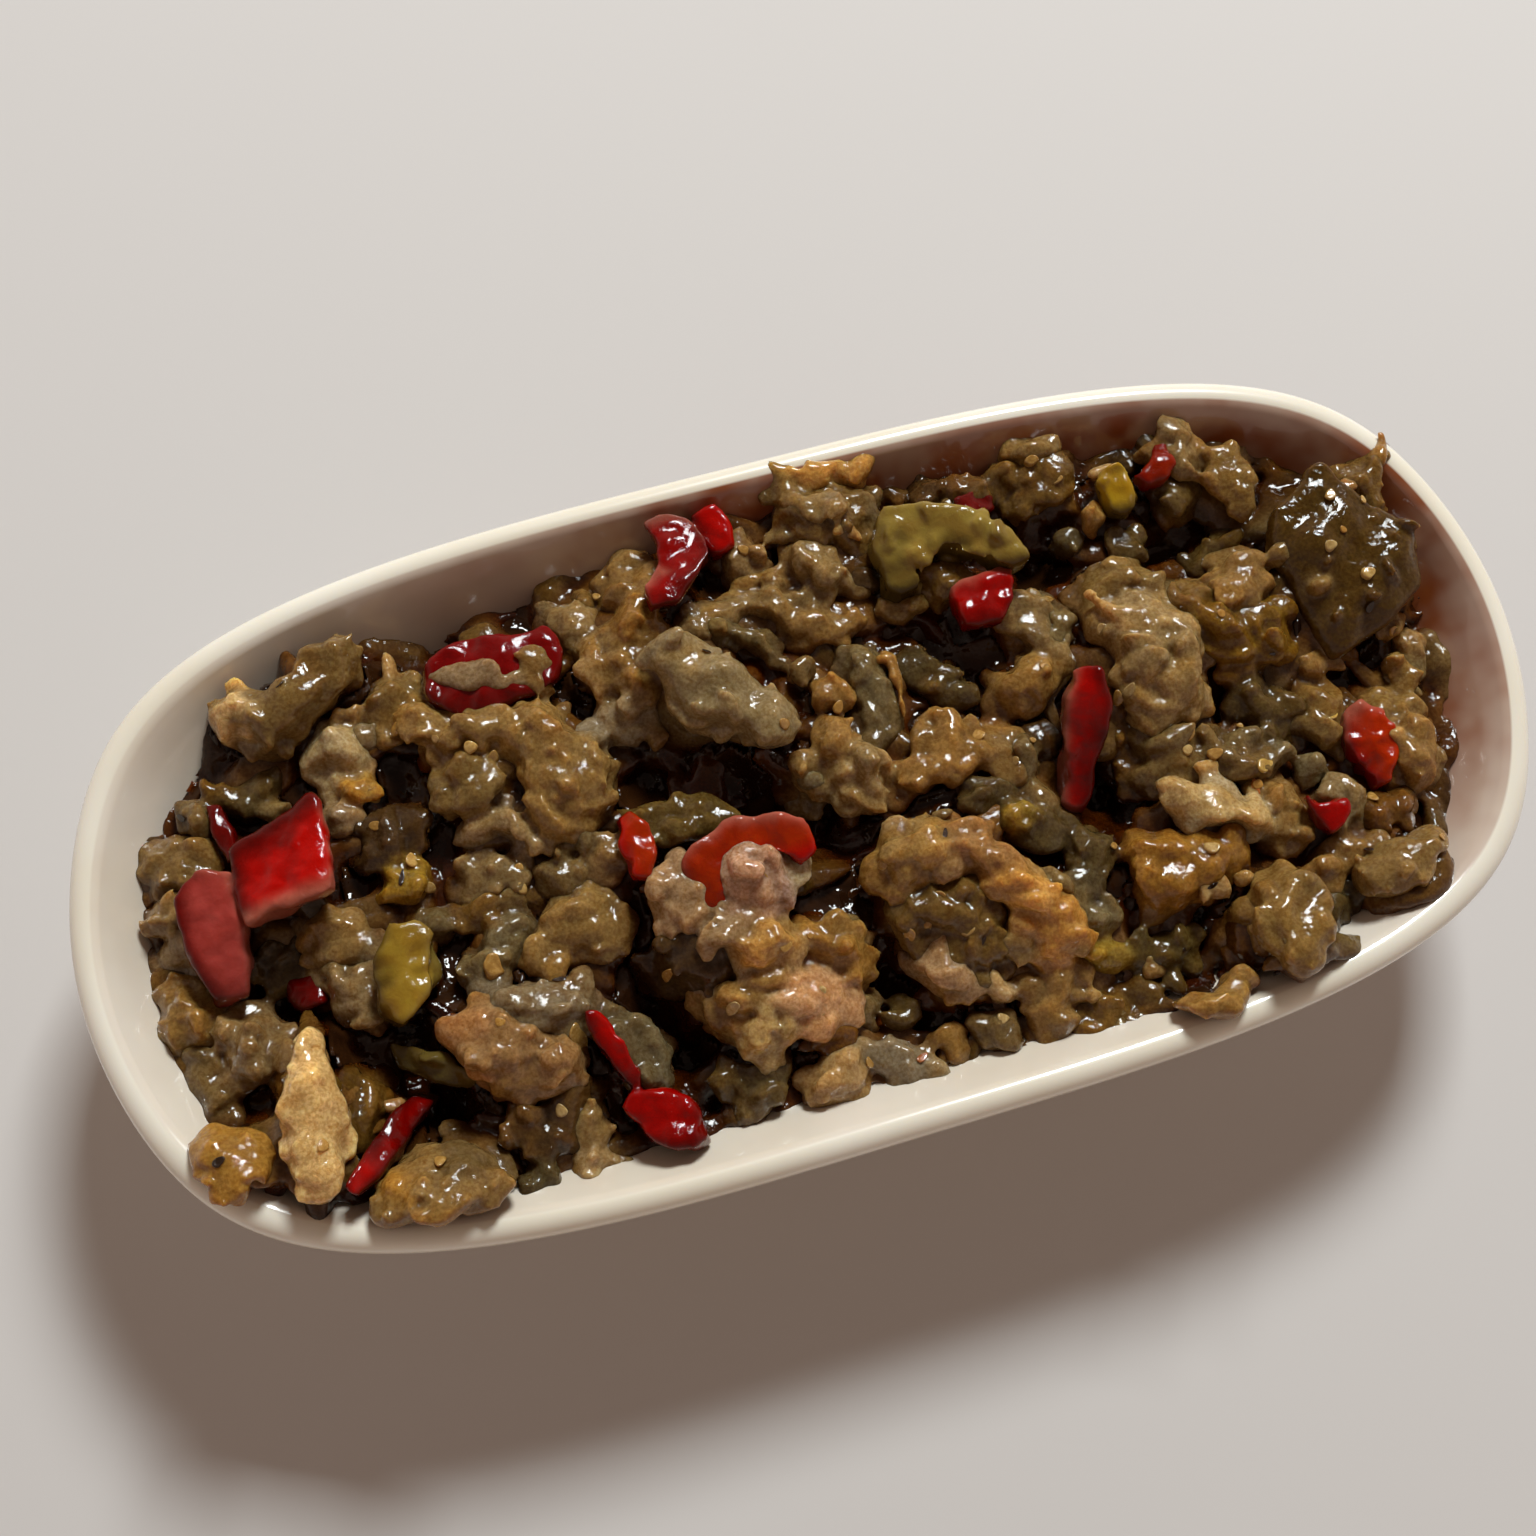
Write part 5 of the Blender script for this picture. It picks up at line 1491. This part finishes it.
def finishJuice(obj):
    material, n, shader = freshMaterial("juice")
    where = n.node("ShaderNodeTexCoord").outputs["Object"]
    cloud = n.noise(where, 1 / 6.0, 3.0, 0.5)
    ripple = n.noise(where, 1 / 2.2, 2.0, 0.4)
    n.put(shader["Base Color"], mixBlend(n, n.ramp(cloud, 0.35, 0.65), shade((30, 13, 4)), shade((52, 28, 10))))
    n.put(shader["Roughness"], n.ramp(cloud, 0.3, 0.7, 0.02, 0.06))
    n.put(shader["Normal"], n.bump(ripple, 0.55, 0.9))
    shader["IOR"].default_value = 1.34
    obj.data.materials.append(material)


def finishSeeds(obj):
    material, n, shader = freshMaterial("seeds")
    where = n.node("ShaderNodeTexCoord").outputs["Object"]
    tint = n.attribute("tint")["Color"]
    cloud = n.noise(where, 1 / 0.7, 3.0, 0.6)
    n.put(shader["Base Color"], mixBlend(n, n.ramp(cloud, 0.35, 0.65), mixBlend(n, 1.0, tint, (0.74, 0.66, 0.55, 1), "MULTIPLY"), tint))
    n.put(shader["Roughness"], n.ramp(cloud, 0.3, 0.7, 0.12, 0.30))
    n.put(shader["Normal"], n.bump(cloud, 0.05, 0.6))
    shader["Coat Weight"].default_value = 0.4
    shader["Coat Roughness"].default_value = 0.04
    shader["Subsurface Weight"].default_value = 0.25
    shader["Subsurface Radius"].default_value = (1.0, 0.7, 0.3)
    shader["Subsurface Scale"].default_value = 0.8 * mm
    obj.data.materials.append(material)


finishJuice(juicePiece)
finishSeeds(seeds)

glaze = {"colour": (240, 234, 220), "shadeOfGlaze": (234, 226, 208), "juice": (142, 74, 36)}


def finishDish(obj):
    material, n, shader = freshMaterial("creamGlaze")
    where = n.node("ShaderNodeTexCoord").outputs["Object"]
    cloud = n.noise(where, 1 / 30.0, 3.0, 0.5)
    ripple = n.noise(where, 1 / 14.0, 2.0, 0.4)
    pin = n.noise(where, 1 / 0.8, 2.0, 0.5)
    colour = mixBlend(n, n.ramp(cloud, 0.35, 0.65), shade(glaze["colour"]), shade(glaze["shadeOfGlaze"]))
    juicy = n.node("ShaderNodeSeparateColor")
    n.put(juicy.inputs[0], n.attribute("juice")["Color"])
    smear = n.noise(where, 1 / 9.0, 2.0, 0.5)
    stain = n.sum("MULTIPLY", juicy.outputs[0], n.ramp(smear, 0.30, 0.65, 0.75, 1.0))
    colour = mixBlend(n, stain, colour, shade(glaze["juice"]))
    n.put(shader["Base Color"], colour)
    n.put(shader["Roughness"], n.ramp(cloud, 0.3, 0.7, 0.16, 0.26))
    n.put(shader["Normal"], n.bump(n.sum("ADD", ripple, n.sum("MULTIPLY", pin, 0.01)), 0.15, 0.4))
    shader["Coat Weight"].default_value = 0.8
    shader["Coat Roughness"].default_value = 0.03
    shader["IOR"].default_value = 1.5
    shader["Subsurface Weight"].default_value = 0.15
    shader["Subsurface Radius"].default_value = (1.0, 0.8, 0.5)
    shader["Subsurface Scale"].default_value = 1.5 * mm
    obj.data.materials.append(material)
    co = coordinates(obj.data)  # the film of juice on the inner wall is thickest beside the food and on the far and right sides
    near = np.clip(1.15 - (co[:, 2] - heap.at(co[:, 0], co[:, 1]) + 0.5) / 17.0, 0, 1)
    near *= np.clip(0.2 + 1.1 * co[:, 0] / 100 + 0.9 * co[:, 1] / 48, 0.2, 1.0) * (insetField.at(co[:, 0], co[:, 1]) > 3)
    layer = obj.data.attributes.new("juice", "FLOAT_COLOR", "POINT")
    layer.data.foreach_set("color", np.column_stack([np.repeat(near[:, None], 3, 1), np.ones(len(near))]).ravel())


finishDish(glazedDish)
print("finishes made")
